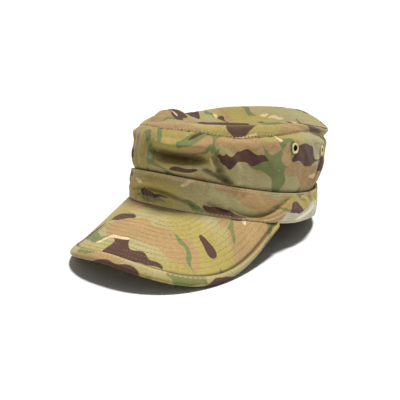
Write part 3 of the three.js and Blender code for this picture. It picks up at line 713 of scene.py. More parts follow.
def panel_points():
    """Upper face of the top panel, laid out from a square of cells so that it has no pole, and how
    far its folds push it"""
    cell = np.linspace(-1, 1, PANEL_CELLS + 1)
    across, along = np.meshgrid(cell, cell)
    left = across * np.sqrt(1 - along**2 / 2)
    back = along * np.sqrt(1 - across**2 / 2)
    out = np.minimum(np.hypot(left, back), 1)
    at = np.degrees(np.arctan2(left, -back))
    rim = LEVELS["rim"]
    inward = unit(strip_point(at, 0 * at + 1) - strip_point(at, 0 * at + 1 - SMALL_SHARE))
    edge = level_point("rim", at) + SEAM_GAP * inward
    middle = np.array([0, rim["shift_back"], mean_height(rim) - PANEL_SINK])
    points = middle + (edge - middle) * out[..., None]
    points[..., 2] = middle[2] + (edge[..., 2] - middle[2]) * out**2
    free = smooth_share(out, *PANEL_QUIET)
    x = points[..., 0]
    front = rim["shift_back"] - points[..., 1]
    folds = fold_relief(PANEL_FOLDS, x, front) * free
    round_edge = at * math.radians(1) * rim["half_length"]
    width = math.tau * rim["half_length"]
    waves = soft_noise(round_edge, 0 * x, PANEL_PUCKERS["cell"], 1, PANEL_PUCKERS["seed"], width)
    from_rim = (1 - out) * PANEL_RADIUS
    puckers = PANEL_PUCKERS["height"] * waves * np.exp(-((from_rim / PANEL_PUCKERS["reach"]) ** 2))
    fine = drape(PANEL_DRAPE, x, front) * free + puckers * smooth_share(out, *PANEL_SEWN)
    puff = PANEL_PUFF
    for wave in PUFF_WAVES:
        puff = puff + wave["push"] * bump(turned(wave["at"], at), wave["span"])
    points[..., 2] += folds + fine + puff * bump(out - PUFF_AT, PUFF_SPAN) * free
    return points, folds


def bend_height(x, y):
    """Height of the peak's bend alone, at places in plan"""
    drop = PEAK_BEND - np.sqrt(PEAK_BEND**2 - x**2)
    fall = (y + LEVELS["band_bottom"]["half_length"]) * math.tan(math.radians(PEAK_SLOPE))
    return PEAK_ROOT + fall - drop


def peak_height(x, y):
    """Height of the peak's middle surface: flat under the headband, eased onto the bend outside it"""
    oval = LEVELS["band_bottom"]
    at = np.degrees(np.arctan2(x / oval["half_width"], -y / oval["half_length"]))
    seam = level_point("band_bottom", np.clip(at, -PEAK_CORNER, PEAK_CORNER))
    sewn = seam[..., 2] - SEAM_GAP - PEAK_THICK / 2
    beyond = np.hypot(x - seam[..., 0], y - seam[..., 1])
    miss = sewn - bend_height(seam[..., 0], seam[..., 1])
    free = bend_height(x, y) + miss * smooth_share(beyond, PEAK_EASE, 0)
    inside = np.hypot(x / oval["half_width"], y / oval["half_length"]) < 1
    return np.where(inside, sewn, free)


def peak_surface(plan, above):
    """Points this high above the middle surface of the peak, over places in plan"""
    x = plan[..., 0]
    y = plan[..., 1]
    step = 0.1
    slope_x = (peak_height(x + step, y) - peak_height(x - step, y)) / (2 * step)
    slope_y = (peak_height(x, y + step) - peak_height(x, y - step)) / (2 * step)
    normal = unit(np.stack([-slope_x, -slope_y, np.ones_like(x)], -1))
    point = np.stack([x, y, peak_height(x, y)], -1)
    return point + normal * np.asarray(above, float)[..., None], normal


def peak_turn(step):
    """Turn along the peak's edge, from steps between -1 and 1 that crowd at its corners"""
    return np.sign(step) * 90 * (1 - (1 - np.abs(step)) ** 2)


def peak_edge(turn):
    """The peak's finished edge in plan. turn is 0 at the front and 90 at the wearer's left corner."""
    oval = LEVELS["band_bottom"]
    corner = math.radians(PEAK_CORNER)
    corner_x = oval["half_width"] * math.sin(corner)
    corner_y = -oval["half_length"] * math.cos(corner)
    sine = np.sin(np.radians(turn))
    cosine = np.maximum(np.cos(np.radians(turn)), 0)
    wide = corner_x + PEAK_FLARE * cosine * np.abs(sine)
    reach = oval["half_length"] + PEAK_REACH + corner_y
    x = np.sign(sine) * np.abs(sine) ** PEAK_SQUARE * wide
    return np.stack([x, corner_y - reach * cosine**PEAK_ROUND], -1)


def peak_inset(step, distance):
    """Places in plan inwards from the edge, measured on the sloping sheet"""
    small = 0.004
    edge = peak_edge(peak_turn(step))
    along = unit(peak_edge(peak_turn(step + small)) - peak_edge(peak_turn(step - small)))
    inward = np.stack([-along[..., 1], along[..., 0]], -1)
    ahead = edge + inward
    slope = peak_height(ahead[..., 0], ahead[..., 1]) - peak_height(edge[..., 0], edge[..., 1])
    return edge + inward * (np.asarray(distance) / np.hypot(1, slope))[..., None]


def peak_points():
    """Middle surface of the peak, from its bound edge back to its root under the headband"""
    step = np.linspace(-PEAK_END, PEAK_END, PEAK_COLUMNS + 1)
    sine = np.sin(np.radians(peak_turn(step)))
    at = PEAK_CORNER * np.sign(sine) * np.abs(sine) ** PEAK_SQUARE
    root = (level_point("band_bottom", at) - BAND_THICK * outward(at))[:, :2]
    edge = peak_inset(step, np.full(step.shape, BINDING_EDGE + SEAM_GAP))
    share = (np.linspace(1, 0, PEAK_ROWS + 1) ** PEAK_CROWDING)[:, None, None]
    plan = root + (edge - root) * share
    x = plan[..., 0]
    y = plan[..., 1]
    points, _ = peak_surface(plan, drape(PEAK_DRAPE, x, y) * quiet(share[..., 0], PEAK_QUIET))
    return points


def unrolled(points):
    """Places on the peak's sheet, unrolled from its bend"""
    x = PEAK_BEND * np.arcsin(points[..., 0] / PEAK_BEND)
    return np.stack([x, points[..., 1] / math.cos(math.radians(PEAK_SLOPE))], -1)


def edge_distance(points, samples=EDGE_STEPS):
    """Distance over the sheet from each point to the peak's finished edge"""
    step = np.linspace(-1, 1, samples)
    line, _ = peak_surface(peak_edge(peak_turn(step)), 0 * step)
    flat = points.reshape(-1, 3)
    best = np.full(len(flat), FAR)
    for place in line:
        best = np.minimum(best, np.linalg.norm(flat - place, axis=1))
    return best.reshape(points.shape[:-1])


def binding_width(step):
    """Width of the binding, which narrows towards its corners"""
    return BINDING_SIDE + (BINDING_FRONT - BINDING_SIDE) * np.cos(np.radians(peak_turn(step)))


def binding_shadow(from_edge):
    """1 on the peak right beside the binding's inner edge, and fading out on both sides"""
    step = np.linspace(-PEAK_END, PEAK_END, PEAK_COLUMNS + 1)
    return np.exp(-(((from_edge - binding_width(step) - SHADOW_ASIDE) / SHADOW_SPAN) ** 2))


def binding_points():
    """The binding's outer face, from its lower inner edge round the fold to its upper inner edge"""
    step = np.linspace(-PEAK_END, PEAK_END, PEAK_COLUMNS + 1)
    wide = binding_width(step)
    outer = PEAK_THICK / 2 + SEAM_GAP + BINDING_LEAF
    rows = []
    for share in np.linspace(-1, 1, BINDING_ROWS + 1):
        flat = np.clip((abs(share) - BINDING_ROUND) / (1 - BINDING_ROUND), 0, 1)
        round_part = min(abs(share) / BINDING_ROUND, 1) * math.pi / 2
        inset = outer * (1 - math.cos(round_part)) + flat * (wide - outer)
        above = np.sign(share) * outer * math.sin(round_part)
        pillow = BINDING_PILLOW * math.sin(math.pi * flat) * np.sign(share)
        point, _ = peak_surface(peak_inset(step, inset), np.full(step.shape, above + pillow))
        rows.append(point)
    return np.stack(rows)


def apply_all(piece):
    bpy.context.view_layer.objects.active = piece
    piece.select_set(True)
    for modifier in list(piece.modifiers):
        bpy.ops.object.modifier_apply(modifier=modifier.name)


def add_numbers(piece, name, values):
    layer = piece.data.attributes.new(name, "FLOAT", "POINT")
    layer.data.foreach_set("value", np.asarray(values, np.float32))


def lay_cloth(name, points, ring=False, numbers=None, flat_map=None):
    """A sheet of cloth: a flat grid of cells whose corners are moved to their places.
    Its map holds the length along the cloth and across it in millimetres, so that print and
    weave follow the cloth. points has a row for each line of cells, the lowest first."""
    rows, columns = points.shape[0] - 1, points.shape[1] - 1
    bpy.ops.object.select_all(action="DESELECT")
    bpy.ops.mesh.primitive_grid_add(x_subdivisions=columns, y_subdivisions=rows, size=1)
    piece = bpy.context.object
    piece.name = name
    piece.data.name = name
    flat = np.zeros(len(piece.data.vertices) * 3)
    piece.data.vertices.foreach_get("co", flat)
    flat = flat.reshape(-1, 3)
    column = np.rint((flat[:, 0] + 0.5) * columns).astype(int)
    row = np.rint((flat[:, 1] + 0.5) * rows).astype(int)
    piece.data.vertices.foreach_set("co", (points[row, column] * MM).ravel())
    half = points[rows // 2]
    along = np.concatenate([[0], np.cumsum(np.linalg.norm(np.diff(half, axis=0), axis=1))])
    across = np.linalg.norm(np.diff(points, axis=0), axis=2)
    across = np.concatenate([np.zeros((1, columns + 1)), np.cumsum(across, axis=0)])
    corners = np.zeros(len(piece.data.loops), np.int64)
    piece.data.loops.foreach_get("vertex_index", corners)
    cloth = piece.data.uv_layers[0]
    cloth.name = "cloth"
    if ring:
        along -= along[columns // 2]
    if flat_map is None:
        flat_map = np.stack(np.broadcast_arrays(along, across), -1)
    places = flat_map[row, column][corners]
    cloth.uv.foreach_set("vector", places.astype(np.float32).ravel())
    edge = np.minimum(across, across[-1] - across)[row, column]
    # hem is 1 at the sheet's edges; the material pales it there with wear and a painted highlight
    add_numbers(piece, "hem", np.exp(-edge / HEM_FADE))
    for key, values in (numbers or {}).items():
        add_numbers(piece, key, values[row, column])
    if ring:
        bpy.ops.object.mode_set(mode="EDIT")
        bpy.ops.mesh.select_all(action="SELECT")
        bpy.ops.mesh.remove_doubles(threshold=MERGE * MM)
        bpy.ops.object.mode_set(mode="OBJECT")
    return piece


def thicken(piece, thick, middle=False, soften=HEM_SOFT):
    """Gives a sheet its thickness inside its outer face, and rounds its hems"""
    solid = piece.modifiers.new("Thickness", "SOLIDIFY")
    solid.thickness = thick * MM
    solid.offset = 0 if middle else -1
    solid.material_offset = 1
    hems = piece.modifiers.new("Hems", "BEVEL")
    hems.width = soften * MM
    hems.segments = 2
    hems.limit_method = "ANGLE"
    hems.angle_limit = math.radians(HEM_ANGLE)
    apply_all(piece)
    places = np.zeros(len(piece.data.vertices) * 3)
    piece.data.vertices.foreach_get("co", places)
    places = places.reshape(-1, 3)
    places[:, 2] = np.maximum(places[:, 2], 0)
    piece.data.vertices.foreach_set("co", places.ravel())
    bpy.ops.object.shade_smooth_by_angle(angle=math.radians(SMOOTH_ANGLE))
    piece.select_set(False)


def on_sheet(points, columns, rows):
    """Places and outward directions on a laid sheet, at fractional columns and rows"""
    across = np.gradient(points, axis=1)
    up = np.gradient(points, axis=0)
    normals = unit(np.cross(across, up))
    c0 = np.clip(np.floor(columns).astype(int), 0, points.shape[1] - 2)
    r0 = np.clip(np.floor(rows).astype(int), 0, points.shape[0] - 2)
    fc = (columns - c0)[:, None]
    fr = (rows - r0)[:, None]

    def blend(field):
        low = field[r0, c0] * (1 - fc) + field[r0, c0 + 1] * fc
        high = field[r0 + 1, c0] * (1 - fc) + field[r0 + 1, c0 + 1] * fc
        return low * (1 - fr) + high * fr

    return blend(points), unit(blend(normals))


def seam_line(points, distance, from_top=False):
    """A line that runs round a sheet at a distance from its lower or upper edge"""
    step = np.linalg.norm(np.diff(points, axis=0), axis=2)
    length = np.concatenate([np.zeros((1, points.shape[1])), np.cumsum(step, axis=0)])
    columns = np.arange(points.shape[1])
    numbers = np.arange(points.shape[0])
    rows = []
    for column in columns:
        wanted = length[-1, column] - distance if from_top else distance
        rows.append(np.interp(wanted, length[:, column], numbers))
    return on_sheet(points, columns.astype(float), np.array(rows))


def back_lines(points, low, high):
    """Two lines up a ring of cloth, one on each side of the seam at its rear. low and high are rows."""
    rows = np.linspace(low, high, BACK_STEPS)
    turn = math.degrees(BACK_ROW / LEVELS["wall_full"]["half_width"])
    aside = turn / 360 * RING_COLUMNS
    return [on_sheet(points, np.full(rows.shape, column), rows) for column in (aside, RING_COLUMNS - aside)]


def one_stitch():
    """A stitch of thread, one unit long, wide and high: a short bar drawn thinner at both ends"""
    bpy.ops.object.select_all(action="DESELECT")
    bpy.ops.mesh.primitive_cylinder_add(vertices=STITCH_SIDES, radius=0.5, depth=0.5)
    stitch = bpy.context.object
    stitch.name = "Stitch"
    bpy.ops.object.mode_set(mode="EDIT")
    bpy.ops.mesh.select_mode(type="FACE")
    bpy.ops.mesh.select_all(action="SELECT")
    bpy.ops.transform.rotate(value=math.pi / 2, orient_axis="Y", center_override=(0, 0, 0))
    for side in (-1, 1):
        bpy.ops.mesh.select_all(action="DESELECT")
        bpy.ops.object.mode_set(mode="OBJECT")
        for face in stitch.data.polygons:
            face.select = face.normal.x * side > 0.9
        bpy.ops.object.mode_set(mode="EDIT")
        bpy.ops.mesh.extrude_region_move(TRANSFORM_OT_translate={"value": (0.25 * side, 0, 0)})
        bpy.ops.transform.resize(value=(1, STITCH_TIP, STITCH_TIP), center_override=(0, 0, 0))
    bpy.ops.object.mode_set(mode="OBJECT")
    bpy.ops.object.shade_smooth()
    stitch.select_set(False)
    return stitch


def along_run(values, way, distance):
    """Places or directions of a run, at a distance along it"""
    return np.array([np.interp(distance, way, values[:, k]) for k in range(3)])


def stitch_runs(name, runs, pitch, length, width, high):
    """Copies of one stitch along runs of (places, normals), joined into one piece"""
    stitch = one_stitch()
    stitch.data.transform(Matrix.Diagonal((length * MM, width * MM, high * MM, 1)))
    copies = []
    for places, normals in runs:
        steps = np.linalg.norm(np.diff(places, axis=0), axis=1)
        way = np.concatenate([[0], np.cumsum(steps)])
        count = int(way[-1] / pitch)
        for number in range(count):
            centre = (number + 0.5) * way[-1] / count
            spot, ahead, behind = [along_run(places, way, centre + part) for part in (0, 0.5, -0.5)]
            normal = unit(along_run(normals, way, centre))
            along = unit(ahead - behind)
            side = unit(np.cross(normal, along))
            normal = np.cross(along, side)
            turn = Matrix((along, side, normal)).transposed().to_4x4()
            copy = bpy.data.objects.new(name, stitch.data.copy())
            copy.data.transform(Matrix.Translation((spot - normal * STITCH_SINK * high) * MM) @ turn)
            bpy.context.scene.collection.objects.link(copy)
            copies.append(copy)
    bpy.data.objects.remove(stitch)
    bpy.ops.object.select_all(action="DESELECT")
    for copy in copies:
        copy.select_set(True)
    bpy.context.view_layer.objects.active = copies[0]
    bpy.ops.object.join()
    piece = bpy.context.object
    piece.name = name
    piece.data.name = name
    piece.select_set(False)
    return piece


def cut_vents(piece, seats):
    """Opens the wall under each eyelet"""
    bpy.ops.object.select_all(action="DESELECT")
    bpy.context.view_layer.objects.active = piece
    piece.select_set(True)
    bpy.ops.object.mode_set(mode="EDIT")
    bpy.ops.mesh.select_mode(type="FACE")
    bpy.ops.mesh.select_all(action="DESELECT")
    bpy.ops.object.mode_set(mode="OBJECT")
    for face in piece.data.polygons:
        place = np.array(face.center) / MM
        for seat, normal in seats:
            reach = place - seat
            depth = reach @ normal
            if abs(depth) < VENT_DEPTH and np.linalg.norm(reach - depth * normal) < VENT_REACH:
                face.select = True
    bpy.ops.object.mode_set(mode="EDIT")
    bpy.ops.mesh.delete(type="FACE")
    bpy.ops.object.mode_set(mode="OBJECT")
    piece.select_set(False)


def eyelet_seats(points):
    """Where the eyelets sit on the wall as it lies: a place and the way out of it"""
    seats = []
    for _, _, node in EYELETS:
        low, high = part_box(node)
        centre = np.array((low + high) / 2) / MM
        gaps = np.linalg.norm(points - centre, axis=2)
        row, column = np.unravel_index(gaps.argmin(), gaps.shape)
        _, normal = on_sheet(points, np.array([float(column)]), np.array([float(row)]))
        seats.append((centre + EYELET_LIFT * normal[0], normal[0]))
    return seats


def make_eyelet(name, centre, normal):
    """A rolled ring on the outside, a barrel through the cloth and a flat ring inside"""
    bpy.ops.object.select_all(action="DESELECT")
    bpy.ops.mesh.primitive_circle_add(vertices=len(EYELET_SECTION), radius=1)
    piece = bpy.context.object
    piece.name = name
    piece.data.name = name
    for vertex, (radius, height) in zip(piece.data.vertices, EYELET_SECTION):
        vertex.co = (radius * MM, 0, height * MM)
    bpy.ops.object.mode_set(mode="EDIT")
    bpy.ops.mesh.select_all(action="SELECT")
    bpy.ops.mesh.spin(steps=EYELET_SIDES, angle=math.tau, center=(0, 0, 0), axis=(0, 0, 1))
    bpy.ops.mesh.select_all(action="SELECT")
    bpy.ops.mesh.remove_doubles(threshold=MERGE * MM)
    bpy.ops.mesh.normals_make_consistent(inside=False)
    bpy.ops.object.mode_set(mode="OBJECT")
    turn = Vector((0, 0, 1)).rotation_difference(Vector(normal)).to_matrix().to_4x4()
    piece.data.transform(Matrix.Translation(Vector(centre * MM)) @ turn)
    bpy.ops.object.shade_smooth_by_angle(angle=math.radians(RING_ANGLE))
    # The faces inside the hole take the second material, which is painted shade
    for face in piece.data.polygons:
        reach = np.array(face.center) / MM - centre
        if np.linalg.norm(reach - reach @ normal * normal) < BORE_RADIUS and reach @ normal < BORE_TOP:
            face.material_index = 1
    piece.select_set(False)
    return piece


# Shader helpers
def add_node(tree, kind, inputs=None, **settings):
    """A node with its settings. An input is a number, a colour or the socket that feeds it."""
    made = tree.nodes.new(kind)
    for key, value in settings.items():
        setattr(made, key, value)
    for key, value in (inputs or {}).items():
        if isinstance(value, bpy.types.NodeSocket):
            tree.links.new(value, made.inputs[key])
        else:
            made.inputs[key].default_value = value
    return made


def maths(tree, operation, first, second=0.0):
    return add_node(tree, "ShaderNodeMath", {0: first, 1: second}, operation=operation).outputs[0]


def stretched(tree, vector, scale, turn=0.0, shift=(0, 0, 0)):
    inputs = {"Vector": vector, "Scale": scale, "Rotation": (0, 0, math.radians(turn)), "Location": shift}
    return add_node(tree, "ShaderNodeMapping", inputs).outputs[0]


def noise(tree, vector, scale, detail=2.0, rough=0.5, distort=0.0):
    inputs = {"Vector": vector, "Scale": scale, "Detail": detail, "Roughness": rough, "Distortion": distort}
    return add_node(tree, "ShaderNodeTexNoise", inputs).outputs["Fac"]


def between(tree, value, low, high):
    """0 below low, 1 above high, and soft in between"""
    inputs = {"Value": value, "From Min": low, "From Max": high, "To Min": 0.0, "To Max": 1.0}
    return add_node(tree, "ShaderNodeMapRange", inputs, interpolation_type="SMOOTHSTEP").outputs[0]


def mixed(tree, share, first, second, blend="MIX"):
    made = add_node(tree, "ShaderNodeMix", data_type="RGBA", blend_type=blend)
    for key, value in ((0, share), (6, first), (7, second)):
        if isinstance(value, bpy.types.NodeSocket):
            tree.links.new(value, made.inputs[key])
        else:
            made.inputs[key].default_value = value
    return made.outputs[2]


def weighted(tree, parts, plain):
    """Sum of values, each with its weight, and a plain number"""
    total = plain
    for value, weight in parts:
        total = maths(tree, "ADD", maths(tree, "MULTIPLY", value, weight), total)
    return total


def vector_maths(tree, operation, inputs):
    return add_node(tree, "ShaderNodeVectorMath", inputs, operation=operation).outputs[0]


def attribute(tree, name):
    return add_node(tree, "ShaderNodeAttribute", attribute_name=name).outputs["Fac"]


def add_relief(tree, surface, height, distance, strength):
    inputs = {"Height": height, "Distance": distance, "Strength": strength}
    bumpy = add_node(tree, "ShaderNodeBump", inputs)
    tree.links.new(bumpy.outputs[0], surface.inputs["Normal"])


def new_material(name):
    material = bpy.data.materials.new(name)
    material.use_nodes = True
    tree = material.node_tree
    return material, tree, tree.nodes["Principled BSDF"]


def new_group(name, inputs, outputs):
    tree = bpy.data.node_groups.new(name, "ShaderNodeTree")
    for title, kind, value in inputs:
        socket = tree.interface.new_socket(title, in_out="INPUT", socket_type=kind)
        if value is not None:
            socket.default_value = value
    for title, kind in outputs:
        tree.interface.new_socket(title, in_out="OUTPUT", socket_type=kind)
    start = tree.nodes.new("NodeGroupInput")
    end = tree.nodes.new("NodeGroupOutput")
    return tree, start, end


def shade(red, green, blue):
    """A colour as seen, each part from 0 to 255, as linear light"""
    parts = [c / 255 for c in (red, green, blue)]
    linear = [c / 12.92 if c <= 0.04045 else ((c + 0.055) / 1.055) ** 2.4 for c in parts]
    return (*linear, 1)


# Colours of the print, as the dyed cloth shows in even light
SAGE = shade(160, 150, 108)
OLIVE = shade(157, 142, 80)
TAN = shade(160, 132, 90)
GREEN = shade(110, 117, 70)
BROWN = shade(80, 56, 46)
CREAM = shade(206, 182, 138)

# Patches of the print over its sage ground. Each is where its own noise is high: the noise's scale
# for each millimetre of cloth, its turn and shift, and the values between which the patch begins.
OLIVE_PATCH = dict(scale=(0.011, 0.021, 0.02), turn=-64, shift=(7, 4, 2), starts=(0.4, 0.6))
TAN_PATCH = dict(scale=(0.012, 0.028, 0.02), turn=24, shift=(3, 1, 0), starts=(0.55, 0.57))
BROWN_PATCH = dict(scale=(0.017, 0.045, 0.03), turn=-56, shift=(5, 2, 8), starts=(0.645, 0.655))
CREAM_PATCH = dict(scale=(0.034, 0.08, 0.05), turn=40, shift=(2, 6, 1), starts=(0.765, 0.78))
# Green branches follow the middle values of one noise, and a second one makes them wide or gone
GREEN_LINE = dict(scale=(0.013, 0.026, 0.03), turn=62, shift=(1, 9, 4))
GREEN_WIDTH = dict(scale=(0.024, 0.02, 0.03), turn=10, shift=(8, 3, 5))
GREEN_WIDEST = 0.34
GREEN_NARROWED = 0.165
GREEN_STARTS = (0.0, 0.008)
# The edges of all patches wander by this many millimetres
SWAY_SCALE = 0.06
SWAY = 14.0


def patch_noise(tree, place, patch):
    turned_place = stretched(tree, place, patch["scale"], patch["turn"], patch["shift"])
    return noise(tree, turned_place, 1.0, 0.0)


def with_patch(tree, colour, place, patch, dye):
    return mixed(tree, between(tree, patch_noise(tree, place, patch), *patch["starts"]), colour, dye)


def print_group():
    """Printed patches: soft grounds of sage, tan and olive, with crisp green, brown and cream spots"""
    sockets = [("Place", "NodeSocketVector", None), ("Shift", "NodeSocketVector", None)]
    tree, start, end = new_group("Patch print", sockets, [("Colour", "NodeSocketColor")])
    place = vector_maths(tree, "ADD", {0: start.outputs[0], 1: start.outputs[1]})
    sway = {"Vector": place, "Scale": SWAY_SCALE, "Detail": 0.0}
    wander = add_node(tree, "ShaderNodeTexNoise", sway).outputs["Color"]
    centred = vector_maths(tree, "SUBTRACT", {0: wander, 1: (0.5, 0.5, 0.5)})
    wandered = vector_maths(tree, "SCALE", {0: centred, "Scale": SWAY})
    place = vector_maths(tree, "ADD", {0: place, 1: wandered})
    colour = with_patch(tree, SAGE, place, OLIVE_PATCH, OLIVE)
    colour = with_patch(tree, colour, place, TAN_PATCH, TAN)
    line = maths(tree, "SUBTRACT", patch_noise(tree, place, GREEN_LINE), 0.5)
    wide = maths(tree, "MULTIPLY", patch_noise(tree, place, GREEN_WIDTH), GREEN_WIDEST)
    reach = maths(tree, "SUBTRACT", wide, GREEN_NARROWED)
    green = maths(tree, "SUBTRACT", reach, maths(tree, "ABSOLUTE", line))
    colour = mixed(tree, between(tree, green, *GREEN_STARTS), colour, GREEN)
    colour = with_patch(tree, colour, place, BROWN_PATCH, BROWN)
    colour = with_patch(tree, colour, place, CREAM_PATCH, CREAM)
    tree.links.new(colour, end.inputs[0])
    return tree


# Weave: spacing of the threads and of the stronger threads in millimetres, where between the
# middle of a space and its edge a stronger thread rises, the slubs' scale along and across a
# thread, and how high threads, slubs and stronger threads are
THREAD = 0.55
RIPSTOP = 5.0
RIPSTOP_RISE = (0.42, 0.5)
SLUB_ALONG = 0.25
SLUB_ACROSS = 1.6
THREAD_HIGH = 0.3
SLUB_HIGH = 0.5
RIPSTOP_HIGH = 0.25


def weave_group():
    """Fine diagonal weave with slubs and a faint square grid of stronger threads"""
    sockets = [("Place", "NodeSocketVector", None), ("Thread", "NodeSocketFloat", THREAD)]
    outs = [("Height", "NodeSocketFloat"), ("Tone", "NodeSocketFloat")]
    tree, start, end = new_group("Ripstop weave", sockets, outs)
    axes = add_node(tree, "ShaderNodeSeparateXYZ", {0: start.outputs[0]})
    turns = maths(tree, "DIVIDE", math.tau, start.outputs[1])
    warp = maths(tree, "SINE", maths(tree, "MULTIPLY", axes.outputs[0], turns))
    weft = maths(tree, "SINE", maths(tree, "MULTIPLY", axes.outputs[1], turns))
    threads = maths(tree, "MULTIPLY", warp, weft)
    slub = noise(tree, stretched(tree, start.outputs[0], (SLUB_ALONG, SLUB_ACROSS, 1)), 1.0, 2.0)
    slub_across = noise(tree, stretched(tree, start.outputs[0], (SLUB_ACROSS, SLUB_ALONG, 1)), 1.0, 2.0)
    grids = []
    for axis in (0, 1):
        share = maths(tree, "FRACT", maths(tree, "DIVIDE", axes.outputs[axis], RIPSTOP))
        aside = maths(tree, "ABSOLUTE", maths(tree, "SUBTRACT", share, 0.5))
        grids.append(between(tree, aside, *RIPSTOP_RISE))
    grid = maths(tree, "MAXIMUM", grids[0], grids[1])
    both = maths(tree, "ADD", slub, slub_across)
    heights = [(threads, THREAD_HIGH), (both, SLUB_HIGH), (grid, RIPSTOP_HIGH)]
    height = weighted(tree, heights, 0.0)
    tree.links.new(height, end.inputs[0])
    tree.links.new(both, end.inputs[1])
    return tree


PRINT = print_group()
WEAVE = weave_group()


# Weights in the cloth's tone, and strengths of what changes its colour
WEAVE_TONE = 0.45
UNEVEN_TONE = 0.34
FLECK_TONE = 0.62
PLAIN_TONE = 0.11
FOLD_SHADE_AND_SOIL_WEIGHT = 0.28
ROW_LINE = 0.16
TUCK_LINE = 0.75
# Values between which the painted shade and soil of the folds, the bleached corner and the dark
# parts of the rows set in
FOLD_SHADE_AND_SOIL_STARTS = (0.15, 1.0)
PALE_STARTS = (0.4, 0.6)
LINE_STARTS = (0.4, 0.56)
# The groove of a stitched row, as a share of the spacing, and the distances from the peak's edge
# between which the rows set in
ROW_GROOVE = 0.2
ROWS_START = (FIRST_ROW - 1.5, FIRST_ROW - 0.5)
# Noises on the cloth, whose scale is for each millimetre: uneven dye, flecks, crumples, and the
# breaks in the rows' dark lines
UNEVEN = dict(scale=0.045, detail=3.0, rough=0.6)
FLECKS = dict(scale=0.55, detail=2.0, rough=0.7)
CRUMPLES = dict(scale=0.16, detail=3.0, rough=0.6)
BREAKS = dict(scale=0.5, detail=0.0)
# Weights in the cloth's relief, how deep it is in metres, and its strength
WEAVE_RELIEF = 0.1
CRUMPLE_RELIEF = 0.55
ROW_RELIEF = 0.4
RELIEF_DEPTH = 0.0006
RELIEF_STRENGTH = 0.7
# Roughness of the cloth, and how much its slubs add
CLOTH_ROUGH = 0.8
SLUB_ROUGH = 0.1
# Noises of thread and lacquer, whose scale is for each metre, and the depth of their relief
THREAD_WORN = 260.0
THREAD_TWIST = 2400.0
LACQUER_WORN = 300.0
LACQUER_GRAIN = 900.0
FINE_RELIEF = 0.0001
# Colours of faded cloth, of painted shade and soil in the folds, of bleached cloth, and of painted
# shade in the peak's rows and beside its binding
FADED = shade(150, 140, 105)
FOLD_SHADE_AND_SOIL_COLOUR = shade(64, 50, 24)
BLEACHED = shade(196, 190, 168)
ROW_SHADE = shade(70, 56, 34)
TUCK_SHADE = shade(44, 36, 22)


def row_ridges(tree):
    """1 on the peak's cloth between its stitched rows, and 0 in the rows"""
    edge = attribute(tree, "edge_distance")
    count = maths(tree, "DIVIDE", maths(tree, "SUBTRACT", edge, FIRST_ROW), ROW_SPACING)
    share = maths(tree, "FRACT", maths(tree, "ADD", count, 0.5))
    groove = maths(tree, "ABSOLUTE", maths(tree, "SUBTRACT", share, 0.5))
    sewn = between(tree, edge, *ROWS_START)
    ridge = between(tree, groove, 0.0, ROW_GROOVE)
    return maths(tree, "MAXIMUM", ridge, maths(tree, "SUBTRACT", 1.0, sewn))


def with_rows(tree, colour, cloth, ridge):
    """Broken dark lines in the peak's stitched rows, and shade beside its binding"""
    dark = between(tree, noise(tree, cloth, **BREAKS), *LINE_STARTS)
    broken = maths(tree, "MULTIPLY", dark, ROW_LINE)
    line = maths(tree, "MULTIPLY", maths(tree, "SUBTRACT", 1.0, ridge), broken)
    colour = mixed(tree, line, colour, ROW_SHADE)
    return mixed(tree, maths(tree, "MULTIPLY", attribute(tree, "tuck"), TUCK_LINE), colour, TUCK_SHADE)


